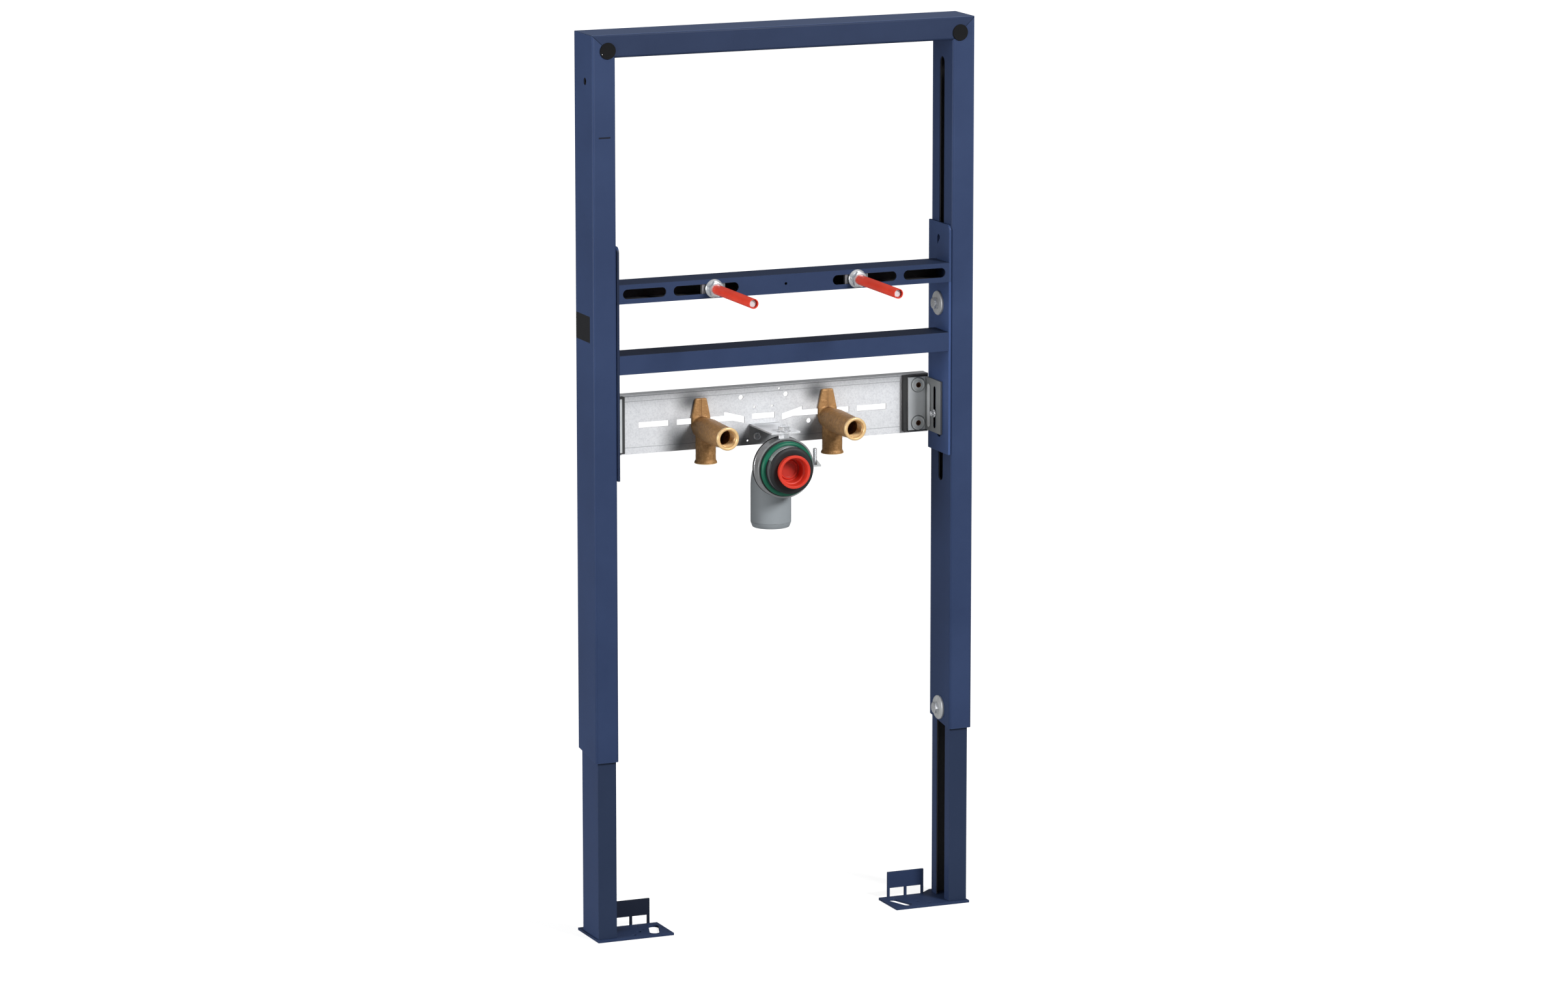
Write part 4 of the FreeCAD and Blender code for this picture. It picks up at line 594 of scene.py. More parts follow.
# The socket's front face lies in the shade of the green ring.
shade_box(grey_pipe, (0, 12, 537), (33, 13, 603), (58, 60, 62), 0.8)
print(len(bpy.data.materials), "materials so far")

# %% [markdown]
# Bright zinc, dull zinc and rolled steel are close in tone, and their gloss tells them apart. Cast
# brass is matt and deeply grained where the sand was, and golden where a tool has cut it.

# %% Metals
ROLLED = (0.1, 1, 0.1)
zinc = finish(
    "bright_zinc", (206, 209, 213), (224, 226, 229), (246, 247, 249),
    rough=(0.2, 0.32), metal=0.7, scale=90, fine=1500, deep=0.12, rim=0.4,
)
stud_zinc = finish(
    "stud_zinc", (214, 216, 219), (228, 230, 232), (246, 247, 249),
    rough=(0.3, 0.4), metal=0.2, scale=90, fine=1500, deep=0.12, rim=0.4,
)
washer_zinc = finish(
    "dull_zinc", (190, 193, 194), (210, 212, 213), (242, 244, 245),
    rough=(0.36, 0.5), metal=0.4, scale=140, contrast=3, fine=1300, deep=0.3,
    rim=0.6, edge_rub_and_light=1.6,
)
bracket_steel = finish(
    "satin_bracket_steel", (202, 206, 208), (220, 223, 225), (240, 242, 243),
    rough=(0.32, 0.42), metal=0.2, stretch=(1, 1, 0.08), deep=0.12, edge_rub_and_light=1.4,
)
# The brackets: painted shade round the discs, on the flange at the side, and in the slot in it.
for height in (601.3, 649):
    tint_region(bracket_steel, (203, 78.5, height), (9.7, 3, 9.7), (62, 66, 68), "Ball", 0.7)
shade_box(bracket_steel, (213, 36, 590), (217, 80, 661), (104, 108, 109), 0.8)
shade_box(bracket_steel, (214.05, 50, 597.6), (216.3, 57, 650.4), (14, 15, 20))
disc_steel = finish(
    "pressed_disc_steel", (188, 193, 194), (206, 210, 211), (238, 240, 241),
    rough=(0.3, 0.4), metal=0.2, scale=60, deep=0.1, rim=0.5, edge_rub_and_light=1.4,
)
dark_band = finish(
    "dark_clip_band", (122, 124, 128), (142, 144, 148), (214, 216, 220),
    rough=(0.28, 0.4), metal=0.6, scale=60, stretch=ROLLED, deep=0.1, rim=0.4,
)
band_steel = finish(
    "rolled_band_steel", (140, 142, 144), (172, 174, 176), (228, 230, 231),
    rough=(0.26, 0.38), metal=0.6, scale=40, fine=1200, stretch=ROLLED, deep=0.1,
    rim=0.6, edge_rub_and_light=1.4,
)
clip_steel = finish(
    "clip_steel", (186, 188, 191), (206, 208, 210), (240, 241, 242),
    rough=(0.24, 0.34), metal=0.5, scale=60, stretch=ROLLED, deep=0.1, rim=0.4,
)
cast_brass = finish(
    "cast_brass", (140, 102, 60), (178, 136, 88), (220, 178, 124),
    rough=(0.36, 0.5), metal=0.35, scale=330, contrast=3, specular=0.3,
    deep=0.9, high=0.6, rim=1.4, edge_rub_and_light=1.2, wear_and_light=0.55,
)
# The elbows: a lighter tab with a line of painted shade in its crease, and shade where the barrel meets the
# branch.
shade_box(cast_brass, (60, 83, 628), (108, 89, 655), (196, 150, 100), 0.55)
shade_box(cast_brass, (83.7, 83, 629), (84.3, 89, 651), (84, 54, 30), 0.7)
tint_region(cast_brass, (84, 84, 627), (7, 9, 6), (74, 42, 20), "Fade", 0.8)
machined_brass = finish(
    "machined_brass", (226, 186, 130), (238, 204, 150), (250, 226, 180),
    rough=(0.24, 0.36), metal=0.25, scale=120, fine=2000, deep=0.08, rim=0.5,
)
rivet_brown = finish(
    "dark_rivet_hole", (62, 36, 20), (96, 60, 34), (120, 80, 50),
    rough=(0.5, 0.7), metal=0.2, scale=300, fine=1800, deep=0.4,
)
print(len(bpy.data.materials), "materials so far")


# %% [markdown]
# Hot-dip galvanised sheet shows *spangle*: the zinc freezes into flat crystals a few millimetres
# across, each reflecting a little differently. A Voronoi pattern gives one number per crystal, and
# that number with a fine cloud drives both tone and gloss. The folded edge and the two creases
# are faint lines of painted shade, and the pieces in front of the panel leave soft painted shadows.

# %% Galvanised sheet
def make_spangle():
    group, given, deliver = new_group("spangle", ("Crystal", "Height"), Scale=260)
    place = own_place(group)
    wobble = add(group, "TexNoise", Vector=place, Scale=160, Detail=3)
    shifted = vector_maths(group, "MULTIPLY_ADD", wobble.outputs["Color"], (0.006, 0.006, 0.006), place)
    cells = add(group, "TexVoronoi", Vector=shifted, Scale=given["Scale"])
    number = add(group, "SeparateColor", cells.outputs["Color"]).outputs[0]
    cloud = add(group, "TexNoise", Vector=place, Scale=420, Detail=6, Roughness=0.75)
    fine = add(group, "TexNoise", Vector=place, Scale=700, Detail=3)
    deliver(Crystal=maths(group, "MULTIPLY_ADD", number, 0.1, cloud.outputs["Fac"]),
            Height=fine.outputs["Fac"])
    return group


spangle = make_spangle()


def galvanised_sheet(name, dark, light):
    material, tree, shader = new_material(name, 0.12)
    crystals = add(tree, "Group", node_tree=spangle).outputs
    tone = remap(tree, crystals["Crystal"], (0, 1), (0.35, 0.62))
    gloss = remap(tree, crystals["Crystal"], (0.3, 0.5), (0.4, 0.9))
    # The edges go darker: partly wear, partly painted shade on the rounded edges.
    rim = add(tree, "Group", node_tree=edge, Width=0.6 * MM).outputs["Mask"]
    wear_and_light = blend(tree, rim, blend(tree, tone, colour(*dark), colour(*light)), colour(128, 131, 136))
    feed(tree, shader, wear_and_light, gloss, crystals["Height"], 0.2, 0.2)
    return material


panel_zinc = galvanised_sheet("spangled_panel", (212, 214, 218), (234, 236, 239))
shelf_zinc = galvanised_sheet("spangled_shelf", (204, 206, 210), (226, 228, 231))
# The two creases get faint lines of painted shade.
CREASES = (653, 596.2)
for height in CREASES:
    shade_box(panel_zinc, (0, 88, height - 0.4), (183, 89.2, height + 0.4), (150, 153, 158), 0.6)
# The upper fold: a line of painted shade along it, and painted light on its top.
shade_box(panel_zinc, (0, 88, 658.9), (222, 89.2, 660.1), (120, 123, 128), 0.7)
shade_box(panel_zinc, (0, 89, 660.3), (222, 105, 662), (236, 238, 240))
# Soft shadows of the waste set and the elbows: across, up, and half sizes.
for across, height, wide, high in (
    (-28, 592, 46, 26), (-112, 600, 34, 40), (60, 598, 30, 34),
    (-96, 648, 30, 22), (70, 648, 26, 22),
):
    tint_region(panel_zinc, (across, 88.5, height), (wide, 6, high), (66, 70, 74), "Fade", 0.85, mirror=False)
# The shelf: painted shade on its flange, the shadow in front of the bolt, and lines of painted shade along
# its front edge and its fold.
shade_box(shelf_zinc, (0, 84, 590), (20, 88.4, 612.4), (104, 107, 110), 0.72)
tint_region(shelf_zinc, (-12, 70, 614.5), (26, 30, 4), (120, 123, 127), "Fade", 0.5, mirror=False)
shade_box(shelf_zinc, (0, 20.5, 614), (17.2, 21.1, 615), (120, 122, 126), 0.6)
shade_box(shelf_zinc, (0, 82.6, 613.6), (19.5, 85.4, 615), (64, 66, 70), 0.85)
print(len(bpy.data.materials), "materials")


# %% [markdown]
# ## The steelwork
# Posts, rails, plates, legs and feet have the right shape already, so they keep their nodes. The
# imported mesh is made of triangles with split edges. Three modifiers turn it into a part with
# folded, painted edges: Weld joins the split points, Decimate removes lines on flat faces, and
# Bevel rounds what is left. Modifiers leave the node's own mesh as it was.

# %% Soft edges and coats on the carried-over nodes
def steelwork(node, width, material):
    """Round a node's edges by width, and give it its finish."""
    piece = nodes[node]
    modify(piece, "WELD", merge_threshold=1e-5)
    modify(piece, "DECIMATE", decimate_type="DISSOLVE", angle_limit=math.radians(0.6), delimit={"SHARP"})
    modify(piece, "BEVEL", width=width * MM, segments=2, limit_method="ANGLE",
           angle_limit=math.radians(38), harden_normals=True, use_clamp_overlap=True)
    paint(material, node)


for node, width, material in (
    ("left_post", 0.6, coats["labelled"]), ("right_post", 0.6, coats["post"]),
    ("top_rail", 0.6, coats["top"]), ("basin_rail", 0.45, coats["basin"]),
    ("lower_rail", 0.45, coats["lower"]), ("fittings_panel", 0.3, panel_zinc),
    ("waste_bracket", 0.4, shelf_zinc),
):
    steelwork(node, width, material)
for side in SIDES:
    for part, width, material in (
        ("_leg", 0.35, coats["leg"]), ("_foot", 0.4, coats["foot"]), ("_side_plate", 0.5, coats["plate"]),
        ("_bracket", 0.45, bracket_steel), ("_pad", 0.7, pad_rubber),
    ):
        steelwork(side + part, width, material)
    # The clamp plates take the darker band steel as painted shade, so they read dark in the rails' slots.
    paint(dark_band, side + "_clamp_plate")
    paint(washer_zinc, side + "_leg_clamp_nut_plate", side + "_crossbar_clamp_nut_plate")
print("steelwork and sheet metal painted")


# %% [markdown]
# ## Clamp bolts and washers
# Each leg and the crossbar are held by a hexagon bolt on a thick flat washer. The washer is a
# turned ring with a small bright chamfer, so a lathe profile gives it. The bolt is a chamfered
# head on a threaded shank, turned so that one corner points at the viewer.

# %% Washers and bolts
BOLT_RADIUS, BOLT_PITCH, BOLT_FLATS = 4, 1.25, 13
PLAY = 0.3


def ridden(piece, material, body, slot_name, *replaced):
    """Finish a piece: its material, the body that carries it and the nodes it replaces; its slot name is not
    used.
    """
    paint(material, piece)
    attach(piece, body)
    if replaced:
        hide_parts(*replaced)
    return piece


def box_of(node):
    """A node's lowest and highest corners, and its middle."""
    low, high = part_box(node)
    return low, high, (low + high) / 2


def clamp_parts(side, sign, clamp):
    """The washer and the bolt of one clamp."""
    prefix = side + "_" + clamp + "_clamp"
    body = "frame" if clamp == "leg" else "crossbar"
    inward = Vector((-sign, 0, 0))
    low, high, middle = box_of(prefix + "_washer")
    wall = Vector((max(low.x, high.x, key=abs), middle.y, middle.z))
    thick, radius, bore = (high.x - low.x) / MM, (high.z - low.z) / 2 / MM, BOLT_RADIUS + PLAY
    washer = lathe(
        prefix + "_turned_washer",
        ((0, bore, 0.3), (0, radius, 0.3), (thick - 0.9, radius, 0.2), (thick, radius - 0.9, 0.3),
         (thick, bore, 0.3)),
        wall, inward, 96,
    )
    ridden(washer, washer_zinc, body, "zinc", prefix + "_washer")
    low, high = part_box(prefix + "_bolt")
    far, near = max(low.x, high.x, key=abs), min(low.x, high.x, key=abs)
    seat = wall + inward * thick * MM
    head = hex_head(prefix + "_head", BOLT_FLATS, abs(near - seat.x) / MM, seat, inward, turn=TURN / 12)
    shank = threaded_rod(
        prefix + "_shank", BOLT_RADIUS, BOLT_PITCH, abs(far - seat.x) / MM, seat, -inward, 20, 4
    )
    return ridden(joined(prefix + "_hex_bolt", head, shank), zinc, body, "zinc", prefix + "_bolt")


for side, sign in SIDES.items():
    for clamp in ("leg", "crossbar"):
        print(clamp_parts(side, sign, clamp).name)


# %% [markdown]
# ## Basin studs
# Two long studs carry the basin. Each is a threaded rod in a red plastic tube, held to the rail by
# a nut with a round flange. The tube is cut square and a little longer than the rod, so the
# bright end of the rod sits just inside it.

# %% Studs, tubes and flange nuts
STUD_RADIUS, STUD_PITCH, NUT_FLATS = 5, 1.5, 17
TUBE_BORE, NUT_BORE = STUD_RADIUS + 0.1, STUD_RADIUS + 0.2


def seat_of(node):
    """The middle of a node's back face, and how far the node reaches forward from there."""
    low, high, middle = box_of(node)
    return Vector((middle.x, high.y, middle.z)), (high.y - low.y) / MM


def stud_parts(side):
    """One basin stud with its tube and its flange nut."""
    base, long = seat_of(side + "_stud")
    stud = threaded_rod(side + "_threaded_stud", STUD_RADIUS, STUD_PITCH, long, base, FRONT)
    ridden(stud, stud_zinc, "crossbar", "zinc", side + "_stud")
    base, long = seat_of(side + "_sleeve")
    low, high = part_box(side + "_sleeve")
    radius = (high.z - low.z) / 2 / MM
    tube = lathe(
        side + "_red_tube",
        ((0, TUBE_BORE, 0.2), (0, radius, 0.3), (long, radius, 0.35), (long, TUBE_BORE, 0.25)),
        base, FRONT, 64,
    )
    ridden(tube, red_sleeve, "crossbar", "red_sleeve", side + "_sleeve")
    base, _ = seat_of(side + "_stud_nut")
    flange = lathe(
        side + "_nut_flange",
        ((0, NUT_BORE), (0, 11.5, 0.3), (1.1, 11.5, 0.4), (3.3, 8.9, 0.6), (3.3, NUT_BORE)),
        base, FRONT, 64, closed=False,
    )
    hexagon = hex_head(
        side + "_nut_hexagon", NUT_FLATS, 7.4, base + FRONT * 2.6 * MM, FRONT, hole=NUT_BORE, turn=0.26
    )
    nut = joined(side + "_flange_nut", flange, hexagon)
    ridden(nut, zinc, "crossbar", "zinc", side + "_stud_nut")


for side in SIDES:
    stud_parts(side)
    print(side, "stud, tube and nut done")


# %% [markdown]
# ## Pressed grommets, bracket screws and corner caps
# The panel hangs on rubber-backed brackets. Each bracket shows two pressed discs with a hollow
# rivet in the middle, and one screw with a small flange. The mitred corners of the frame carry
# flat black caps.

# %% Small round parts
def round_part(name, node, profile, base, axis, material, slot_name, body, around=56):
    """A turned piece in the place of a node."""
    return ridden(lathe(name, profile, base, axis, around), material, body, slot_name, node)


def grommet_parts(prefix):
    """A pressed disc with a hollow rivet in it."""
    base, _ = seat_of(prefix + "_grommet")
    round_part(
        prefix + "_pressed_disc", prefix + "_grommet",
        ((0, 3.4), (0, 8.6), (1.5, 8.6, 0.3), (2, 8, 0.3), (2, 7.3, 0.4), (1.5, 6.8, 0.4),
         (1.5, 4.6, 0.4), (1.9, 4.1, 0.3), (1.9, 3.4, 0.2)),
        base, FRONT, disc_steel, "grey_grommet", "fittings",
    )
    tube = ((-7, 2), (-7, 3.3), (1.6, 3.4, 0.3), (1.6, 2.2, 0.3))
    rivet = lathe(prefix + "_rivet", tube, base, FRONT, 40)
    floor = lathe(prefix + "_rivet_floor", ((-1.6, 0.05), (-1.6, 2.1)), base, FRONT, 40, False)
    hollow = joined(prefix + "_hollow_rivet", rivet, floor)
    ridden(hollow, rivet_brown, "fittings", "grey_grommet")


for side, sign in SIDES.items():
    for place in ("lower", "upper"):
        grommet_parts(side + "_" + place)
    low, high, middle = box_of(side + "_bracket_screw")
    base = Vector((max(low.x, high.x, key=abs), middle.y, middle.z))
    long = (high.x - low.x) / MM
    round_part(
        side + "_flanged_screw", side + "_bracket_screw",
        ((0, 0.4), (0, 3), (long - 5.8, 3), (long - 5.8, 5, 0.2), (long - 4.7, 5, 0.5),
         (long - 4.4, 3.6, 0.4), (long - 1, 3.3, 1.2), (long, 2, 0.8), (long, 0.4)),
        base, (-sign, 0, 0), zinc, "zinc", "crossbar",
    )
    base, _ = seat_of(side + "_corner_cap")
    round_part(
        side + "_moulded_cap", side + "_corner_cap",
        ((0, 0.02), (0, 10, 0.2), (1.1, 10, 0.4), (1.5, 9.5, 0.3), (1.4, 8.9, 0.3), (1.4, 0.02)),
        base, FRONT, black_plastic, "black_plastic", "frame",
    )
print("small round parts done")


# %% [markdown]
# ## Cast brass elbows
# The tap elbows are sand castings: soft inside corners, a slightly uneven skin, and a machined
# mouth. Hard CAD edges would look wrong, so a copy of the node is remeshed into small even
# faces, smoothed until the corners flow together, and pushed in and out a little by a cloud
# texture. The mouth is cut back and a sharp, turned ring with a real thread takes its place.

# %% Elbow castings
def even_copy(name, node, voxel, keep):
    """A copy of a node's solid as small even faces, without the part that keep leaves out."""
    mesh = nodes[node].data.copy()
    weld(mesh, 1e-6)
    mesh.materials.clear()
    piece = in_scene(name, mesh)
    clouds = bpy.data.textures.get("sand_skin") or bpy.data.textures.new("sand_skin", "CLOUDS")
    clouds.noise_scale = 4 * MM
    modify(piece, "REMESH", mode="VOXEL", voxel_size=voxel * MM)
    modify(piece, "SMOOTH", factor=0.5, iterations=9)
    modify(piece, "DISPLACE", texture=clouds, strength=0.4 * MM, mid_level=0.6)
    bpy.context.view_layer.update()
    baked = bpy.data.meshes.new_from_object(piece.evaluated_get(bpy.context.evaluated_depsgraph_get()))
    bpy.data.objects.remove(piece)
    shape = bmesh.new()
    shape.from_mesh(baked)
    bmesh.ops.delete(shape, geom=[v for v in shape.verts if not keep(v.co)], context="VERTS")
    shape.to_mesh(baked)
    shape.free()
    baked.shade_smooth()
    return in_scene(name, baked)


AXIS_HEIGHT = 41.5                  # of the outlet above the branch's lower end
MOUTH_CUT, BORE_CUT, BORE_LONG = 3.2, 12, 18
BORE, RIDGE, BORE_PITCH = 10.4, 0.8, 1.3
BORE_TURNS, RINGS_A_TURN, BORE_COLUMNS = 14, 6, 72
BRANCH_AXIS = 10.5                  # in front of the pad


def outlet_thread(name, mouth):
    """The thread inside the outlet, which grows from nothing over its first four turns."""
    total = BORE_TURNS * RINGS_A_TURN
    vertices = []
    for ring in range(total + 1):
        turns = ring / RINGS_A_TURN
        for column in range(BORE_COLUMNS):
            turn = column / BORE_COLUMNS
            peak = max(0, 1 - abs(2 * ((turns - turn) % 1) - 1) * 1.3)
            reach = BORE - RIDGE * min(1, turns / 4) * peak
            along = 1 + turns * BORE_PITCH
            vertices.append(around_axis(mouth, (BACK, RIGHT, UP), along, reach, turn * TURN))
    return new_piece(name, vertices, grid(total + 1, BORE_COLUMNS, False, True), 50)


def elbow_parts(side):
    """A casting with its outlet's ring and thread and the ring at its inlet."""
    node = side + "_tap_elbow"
    low, _, middle = box_of(node)
    mouth = Vector((middle.x, low.y, low.z + AXIS_HEIGHT * MM))

    def outside_mouth(co):
        """False in front of the casting and along its threaded bore."""
        from_axis = math.hypot(co.x - mouth.x, co.z - mouth.z) / MM
        deep = (co.y - mouth.y) / MM
        return deep > MOUTH_CUT and (from_axis > BORE_CUT or deep > BORE_LONG)

    casting = even_copy(side + "_cast_elbow", node, 0.9, outside_mouth)
    ridden(casting, cast_brass, "fittings", "cast_brass", node)
    ring = lathe(
        side + "_outlet_ring",
        ((0, 11.5, 0.3), (0, 13.3, 0.5), (0.8, 14.2, 0.5), (4.6, 14.1, 0.6), (4.6, 10.5), (1.1, 10.5, 0.3)),
        mouth, BACK, 96,
    )
    thread = outlet_thread(side + "_outlet_thread", mouth)
    foot_ring = lathe(
        side + "_inlet_ring",
        ((0, 9.1, 0.2), (0, 13.9, 0.4), (0.9, 14.2, 0.2), (0.9, 9.1, 0.2)),
        (middle.x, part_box(side + "_pad")[0].y - BRANCH_AXIS * MM, low.z), UP,
    )
    for piece in (ring, thread, foot_ring):
        ridden(piece, machined_brass, "fittings", "cast_brass")
    print(casting.name, len(casting.data.polygons), "faces")


for side in SIDES:
    elbow_parts(side)


# %% [markdown]
# ## Waste set
# From the front: a red plug, a black rubber collar with a perforated clip round its neck, a
# green sealing ring, the pipe clamp with its rubber lining, and the grey bend behind. All of
# them are round about the same front-to-back axis, so they share one centre. Along the axis,
# zero is at the front of the posts.

# %% Plug, collar and rings
plug = box_of("waste_plug")[2]
WASTE = Vector((plug.x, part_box("left_post")[0].y, plug.z))
for name, node, material, slot_name, profile in (
    ("moulded_plug", "waste_plug", red_plug, "red_plug",
     ((-28, 17.4, 0.3), (-28, 20.5, 0.6), (-25, 20.5, 0.5), (-25, 19, 0.3), (-6, 19, 0.5),
      (-6, 0.02), (-8, 0.02), (-8, 9, 0.4), (-9.2, 9.6, 0.4), (-9.2, 11.6, 0.4), (-8, 12.2, 0.4),
      (-8, 14.2, 0.8), (-19, 14.6, 0.5), (-19.8, 16.4, 0.6))),
    ("rubber_collar_sleeve", "rubber_collar", black_rubber, "black_rubber",
     ((-19, 19.2, 0.4), (-19, 26, 1.6), (-17.6, 28.6, 1.2), (-15.8, 29, 0.4), (-15, 27.4, 0.4),
      (-6, 27.4), (-6, 19.2))),
    ("green_sealing_ring", "green_ring", green_rubber, "green_seal",
     ((-6.7, 29.4, 0.3), (-6.7, 31.6, 0.5), (-4.8, 33.8, 0.8), (-1.4, 33.8, 0.5), (-0.7, 33, 0.4),
      (-0.7, 32), (-6.2, 32), (-6.2, 29.4))),
    ("ribbed_lining", "clamp_lining", black_rubber, "black_rubber",
     ((-0.6, 32), (-0.6, 34.2, 0.4), (0.2, 35, 0.4), (14.6, 35), (14.6, 36.6, 0.4), (15.4, 37.4, 0.6),
      (16.6, 37.4, 0.6), (18, 36.4, 0.8), (18, 32))),
):
    round_part(name, node, profile, WASTE, BACK, material, slot_name, "fittings", 96)
    print(name, "turned")


# %% [markdown]
# The clip is a steel strip with slots that its worm screw bites into. Only the wound end shows
# its slots. The strip is a curved grid of faces, the slots are faces left out, and a Solidify
# modifier gives the strip its thickness.

# %% Perforated clip and pipe clamp
STRIP_THICK, STRIP_ROWS = 0.5, 6
SLOT_FROM, SLOT_STEP, SLOT_WIDE, SLOT_COUNT = 84, 3.4, 1.5, 17     # in degrees


def strip(name, radius, low, high, start, end, slots=(), steps=180):
    """A curved strip about the waste axis, with the faces of its slots left out."""
    vertices = [
        around_axis(WASTE, (BACK, RIGHT, UP), low + (high - low) * row / STRIP_ROWS, radius,
                    math.radians(start + (end - start) * column / steps))
        for column in range(steps + 1) for row in range(STRIP_ROWS + 1)
    ]
    faces = []
    for number, face in enumerate(grid(steps + 1, STRIP_ROWS + 1)):
        column, row = divmod(number, STRIP_ROWS)
        angle = start + (end - start) * (column + 0.5) / steps
        if row in (0, STRIP_ROWS - 1) or not any(a < angle < b for a, b in slots):
            faces.append(face)
    piece = new_piece(name, vertices, faces, 40)
    modify(piece, "SOLIDIFY", thickness=STRIP_THICK * MM, offset=0)
    return piece


def prism(name, points, front, back):
    """An upright plate from its outline of (across, up), between two places along the waste axis."""
    count = len(points)
    vertices = [WASTE + Vector((x, y, z)) * MM for y in (front, back) for x, z in points]
    faces = [(i, i + count, (i + 1) % count + count, (i + 1) % count) for i in range(count)]
    faces += [tuple(range(count)), tuple(range(2 * count - 1, count - 1, -1))]
    return new_piece(name, vertices, faces)


clip = strip("clip_band", 27.8, -14.6, -6.9, 92, 452)
slots = [(SLOT_FROM + SLOT_STEP * n, SLOT_FROM + SLOT_WIDE + SLOT_STEP * n) for n in range(SLOT_COUNT)]
tail = strip("clip_slotted_end", 28.5, -14.8, -6.7, 78, 152, slots, steps=370)
ridden(clip, dark_band, "fittings", "zinc", "hose_clip")
ridden(tail, clip_steel, "fittings", "zinc")

band = lathe(
    "rolled_band",
    ((0.1, 35.1), (0.1, 37, 0.4), (1.5, 37, 0.3), (2.1, 36.3, 0.3), (12.4, 36.3, 0.3), (13, 37, 0.3),
     (14.4, 37, 0.4), (14.4, 35.1)),
    WASTE, BACK, 128,
)
ear = prism("ear", ((35.6, -1.6), (47.5, -1.6), (47.5, 0.4), (35.8, 0.4)), 1.6, 13.4)
gusset = prism("gusset", ((41.5, 0.3), (47.3, 0.3), (42.3, 6.4)), 1.6, 3.2)
ridden(band, band_steel, "fittings", "zinc", "pipe_clamp")
ridden(joined("clamp_ear", ear, gusset), washer_zinc, "fittings", "zinc")

low, high, middle = box_of("clamp_side_screw")
side_screw = threaded_rod(
    "threaded_side_screw", 2.5, 0.9, (high.z - low.z) / MM, (middle.x, middle.y, low.z), UP, 20
)
ridden(side_screw, zinc, "fittings", "zinc", "clamp_side_screw")
print("clip and clamp done")


# %% [markdown]
# The bend is one moulded pipe: a straight neck, a quarter turn and an upright, with a real wall.
# Sweeping a ring along that line gives an even skin without facets. Its lower end is chamfered,
# and its front end sits in a wider socket.

# %% Grey bend
NECK_START, TURN_START, TURN_RADIUS = -6, 16, 31
PIPE_OUTER, PIPE_INNER = 25, 22
SPIGOT_END = ((5.4, PIPE_OUTER - 0.2), (0.5, PIPE_OUTER - 2), (0, PIPE_OUTER - 2.4), (0, PIPE_INNER + 0.3))


def bend_line():
    """Points and directions along the middle of the bend, from the waste axis."""
    line = []
    drop = (WASTE.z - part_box("waste_bend")[0].z) / MM
    for step in range(5):
        line.append((BACK * (NECK_START + (TURN_START - NECK_START) * step / 5), BACK))
    for step in range(19):
        angle = math.radians(90 * step / 18)
        back, down = TURN_RADIUS * math.sin(angle), TURN_RADIUS * (1 - math.cos(angle))
        line.append((Vector((0, TURN_START + back, -down)), Vector((0, math.cos(angle), -math.sin(angle)))))
    for step in range(1, 9):
        down = TURN_RADIUS + (drop - TURN_RADIUS) * step / 8
        line.append((Vector((0, TURN_START + TURN_RADIUS, -down)), -UP))
    return line


def sweep_pipe(name, line, around=72):
    """A pipe with a wall along a line, and a chamfer at its end."""
    last, way = line[-1]
    rings = [(point, direction, PIPE_OUTER) for point, direction in line[:-1]]
    rings.append((last - way * 6.6, way, PIPE_OUTER))
    rings += [(last - way * before, way, reach) for before, reach in SPIGOT_END]
    rings += [(point, direction, PIPE_INNER) for point, direction in reversed(line[:-1])]
    vertices = [
        around_axis(WASTE + point * MM, (way, RIGHT, RIGHT.cross(way)), 0, reach, TURN * column / around)
        for point, way, reach in rings for column in range(around)
    ]
    return new_piece(name, vertices, grid(len(rings), around, False, True), 40)


pipe = sweep_pipe("bend_pipe", bend_line())
socket = lathe(
    "bend_socket",
    ((-6, 22.2), (-6, 31.9, 0.4), (17.4, 31.9, 0.8), (18, 30, 0.8), (19.6, 25.2, 0.8), (19.6, 22.2)),
    WASTE, BACK, 96,
)
bend = ridden(joined("grey_bend", pipe, socket), grey_pipe, "fittings", "grey_plastic", "waste_bend")
print("bend", len(bend.data.polygons), "faces")

# %% [markdown]
# The clamp hangs from the shelf by a bolt in a long coupling nut. The nut goes on below the CAD's,
# down to the rolled band's groove. A small socket screw holds the shelf to the panel.

# %% Hanger bolt, coupling nut and shelf screw
TO_GROOVE = 2.2
low, high, middle = box_of("hanger_bolt")
shelf_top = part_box("waste_bracket")[1].z
hang = Vector((middle.x, middle.y, shelf_top))
flange = lathe(
    "hanger_flange", ((0, 0.3), (0, 8.5, 0.3), (0.7, 8.5, 0.3), (1.5, 6.6, 0.3), (1.5, 0.3)),
    hang, UP, 56, closed=False,
)
head = hex_head("hanger_head", BOLT_FLATS, 5.2, hang + UP * 1.3 * MM, UP, crown=0.1, turn=0.2)
rod = threaded_rod(
    "hanger_rod", BOLT_RADIUS, BOLT_PITCH, (shelf_top - low.z) / MM, (hang.x, hang.y, low.z), UP, 20
)
ridden(joined("hanger_hex_bolt", flange, head, rod), zinc, "fittings", "zinc", "hanger_bolt")

low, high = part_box("coupling_nut")
coupling = hex_head(
    "hex_coupling", BOLT_FLATS, (high.z - low.z) / MM + TO_GROOVE, (hang.x, hang.y, low.z - TO_GROOVE * MM),
    UP, hole=BOLT_RADIUS + 0.1, turn=0.2, both=True,
)
ridden(coupling, zinc, "fittings", "zinc", "coupling_nut")

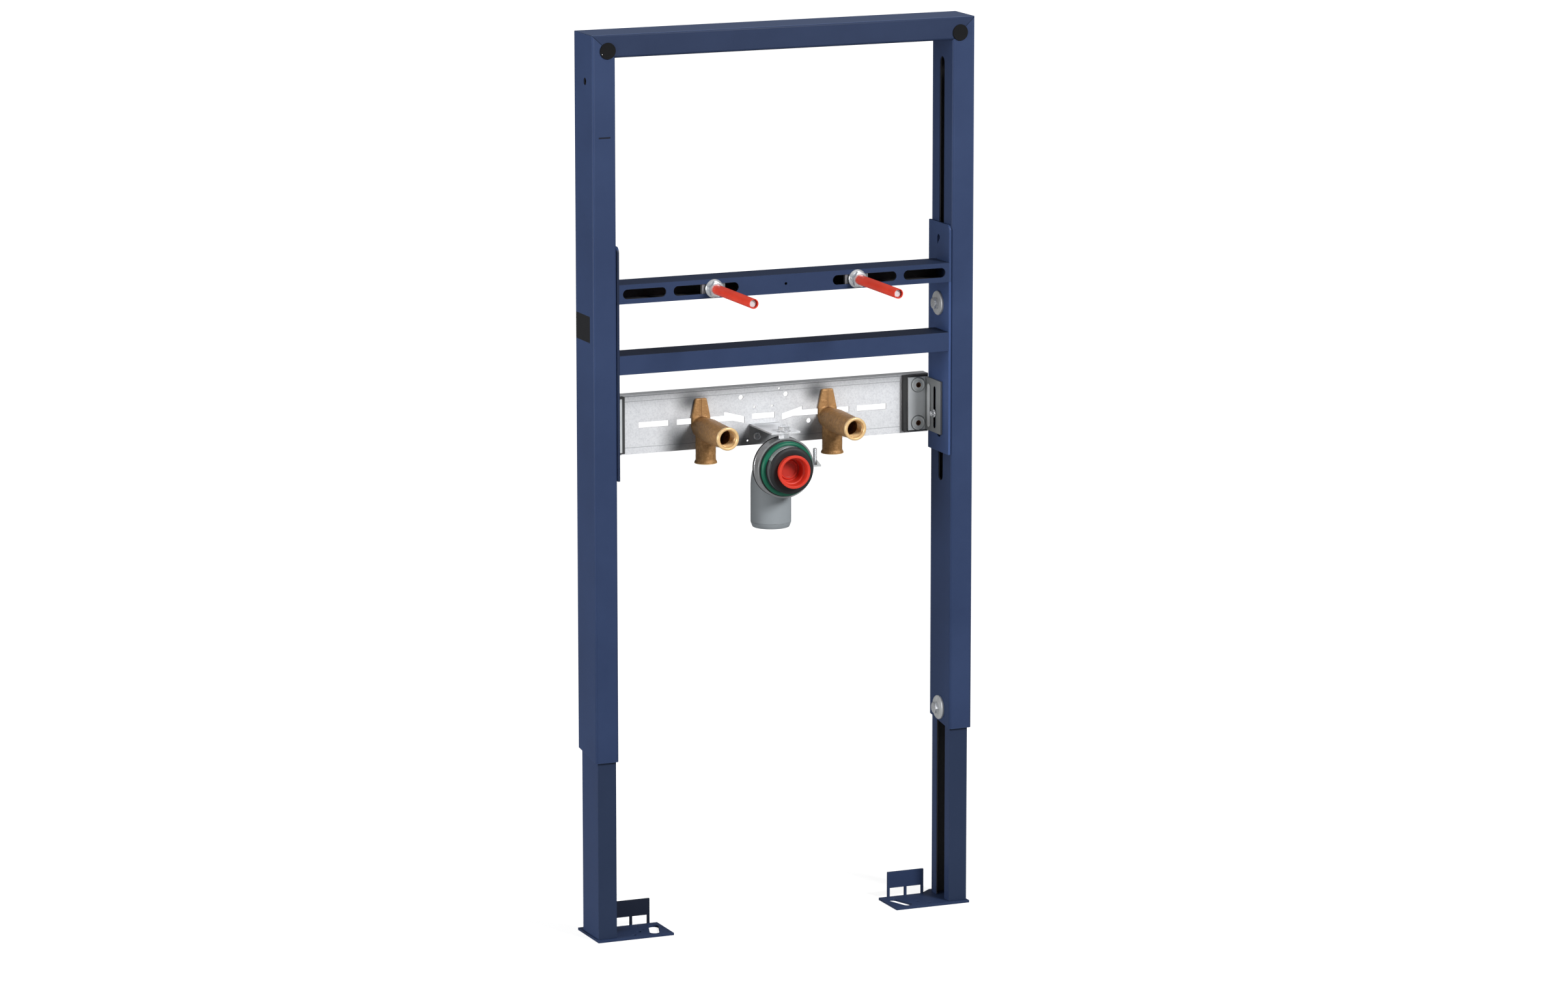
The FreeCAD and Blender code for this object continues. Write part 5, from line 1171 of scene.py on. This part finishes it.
base, long = seat_of("shelf_screw")
round_part(
    "socket_screw", "shelf_screw",
    ((0, 0.3), (0, 2.5), (long - 2.6, 2.5), (long - 2.6, 4.6, 0.2), (long - 0.6, 4.6, 0.5), (long, 4, 0.4),
     (long, 2.9, 0.2), (long - 2.1, 2.7, 0.2), (long - 2.1, 1.4, 0.2), (long - 0.9, 1.2, 0.2),
     (long - 0.9, 0.3)),
    base, FRONT, zinc, "zinc", "fittings", 48,
)
print("hanger, coupling and screw done")


# %% [markdown]
# ## Floor, light and camera
# The photograph is a studio cut-out on pure white. A large lamp at the upper right in front gives
# most of the light, and a weaker one on the left keeps the posts' outer sides from going black.
# The world is white to the camera, but lights the frame only a little and mostly from above. The
# floor looks white to the camera and keeps a shadow.

# %% Floor and world
FLOOR_REACH = 40


def white_floor_material():
    """A grey floor that glows for the camera, less so under the frame, where the lamps add to it."""
    material, tree, _ = new_material("white_floor", 0)
    tree.nodes.clear()
    distance = vector_maths(tree, "LENGTH", own_place(tree), out="Value")
    far = remap(tree, distance, (0.78, 1), (0.8, 5))
    seen = add(tree, "LightPath").outputs["Is Camera Ray"]
    glow = add(tree, "Emission", Strength=maths(tree, "MULTIPLY", seen, far))
    flat = add(tree, "BsdfDiffuse", Color=(0.4, 0.4, 0.4, 1))
    both = add(tree, "AddShader", flat.outputs[0], glow.outputs[0])
    add(tree, "OutputMaterial", Surface=both.outputs[0])
    return material


floor_mesh = bpy.data.meshes.new("floor")
floor_corners = [(x * FLOOR_REACH, y * FLOOR_REACH, 0) for x, y in ((-1, -1), (1, -1), (1, 1), (-1, 1))]
floor_mesh.from_pydata(floor_corners, [], [(0, 1, 2, 3)])
floor = in_scene("floor", floor_mesh)
floor_mesh.materials.append(white_floor_material())

world = bpy.data.worlds.new("studio")
bpy.context.scene.world = world
world.use_nodes = True
sky = world.node_tree
upward = add(sky, "SeparateXYZ", add(sky, "TexCoord").outputs["Generated"]).outputs["Z"]
dome = remap(sky, upward, (0.04, 0.5), (0.2, 0.8))
seen = add(sky, "LightPath").outputs["Is Camera Ray"]
background = sky.nodes["Background"]
background.inputs["Color"].default_value = (1, 1, 1, 1)
fill(sky, background.inputs["Strength"], remap(sky, seen, (dome, 1)))
print("floor and world done")


# %% [markdown]
# Round lamps of more than a metre make the soft edges of a studio's shadows.

# %% Lamps
def look_along(piece, way):
    """Turn a lamp or a camera to a direction."""
    piece.rotation_euler = way.to_track_quat("-Z", "Y").to_euler()


def soft_lamp(name, place, size, power):
    """A round area lamp that looks at the middle of the frame."""
    lamp = bpy.data.lights.new(name, "AREA")
    lamp.shape, lamp.size, lamp.energy = "DISK", size, power
    piece = in_scene(name, lamp)
    piece.location = place
    look_along(piece, Vector((0, 0, 0.6)) - Vector(place))
    return piece


for lamp in (soft_lamp("key", (1.65, -3.53, 2.85), 1.3, 195), soft_lamp("left", (-3.5, -0.5, 1), 1.8, 96)):
    print(lamp.name, "lamp at", tuple(lamp.location))


# %% [markdown]
# The camera was worked out from the edges of the posts and feet in the photograph: a long lens,
# seven and a half metres away, to the left and a little above.

# %% Camera
YAW, PITCH = math.radians(23.153), math.radians(-11.148)
camera_data = bpy.data.cameras.new("camera")
camera_data.lens, camera_data.sensor_width, camera_data.sensor_fit = 146.28, 36, "HORIZONTAL"
camera_data.clip_end = 200
camera = in_scene("camera", camera_data)
camera.location = (-2.99186, -6.97179, 2.03717)
flat = math.cos(PITCH)
look_along(camera, Vector((math.sin(YAW) * flat, math.cos(YAW) * flat, math.sin(PITCH))))
bpy.context.scene.camera = camera
bpy.context.scene.view_settings.view_transform = "Standard"
print("camera at", tuple(camera.location))

# %% Update the scene
bpy.context.view_layer.update()
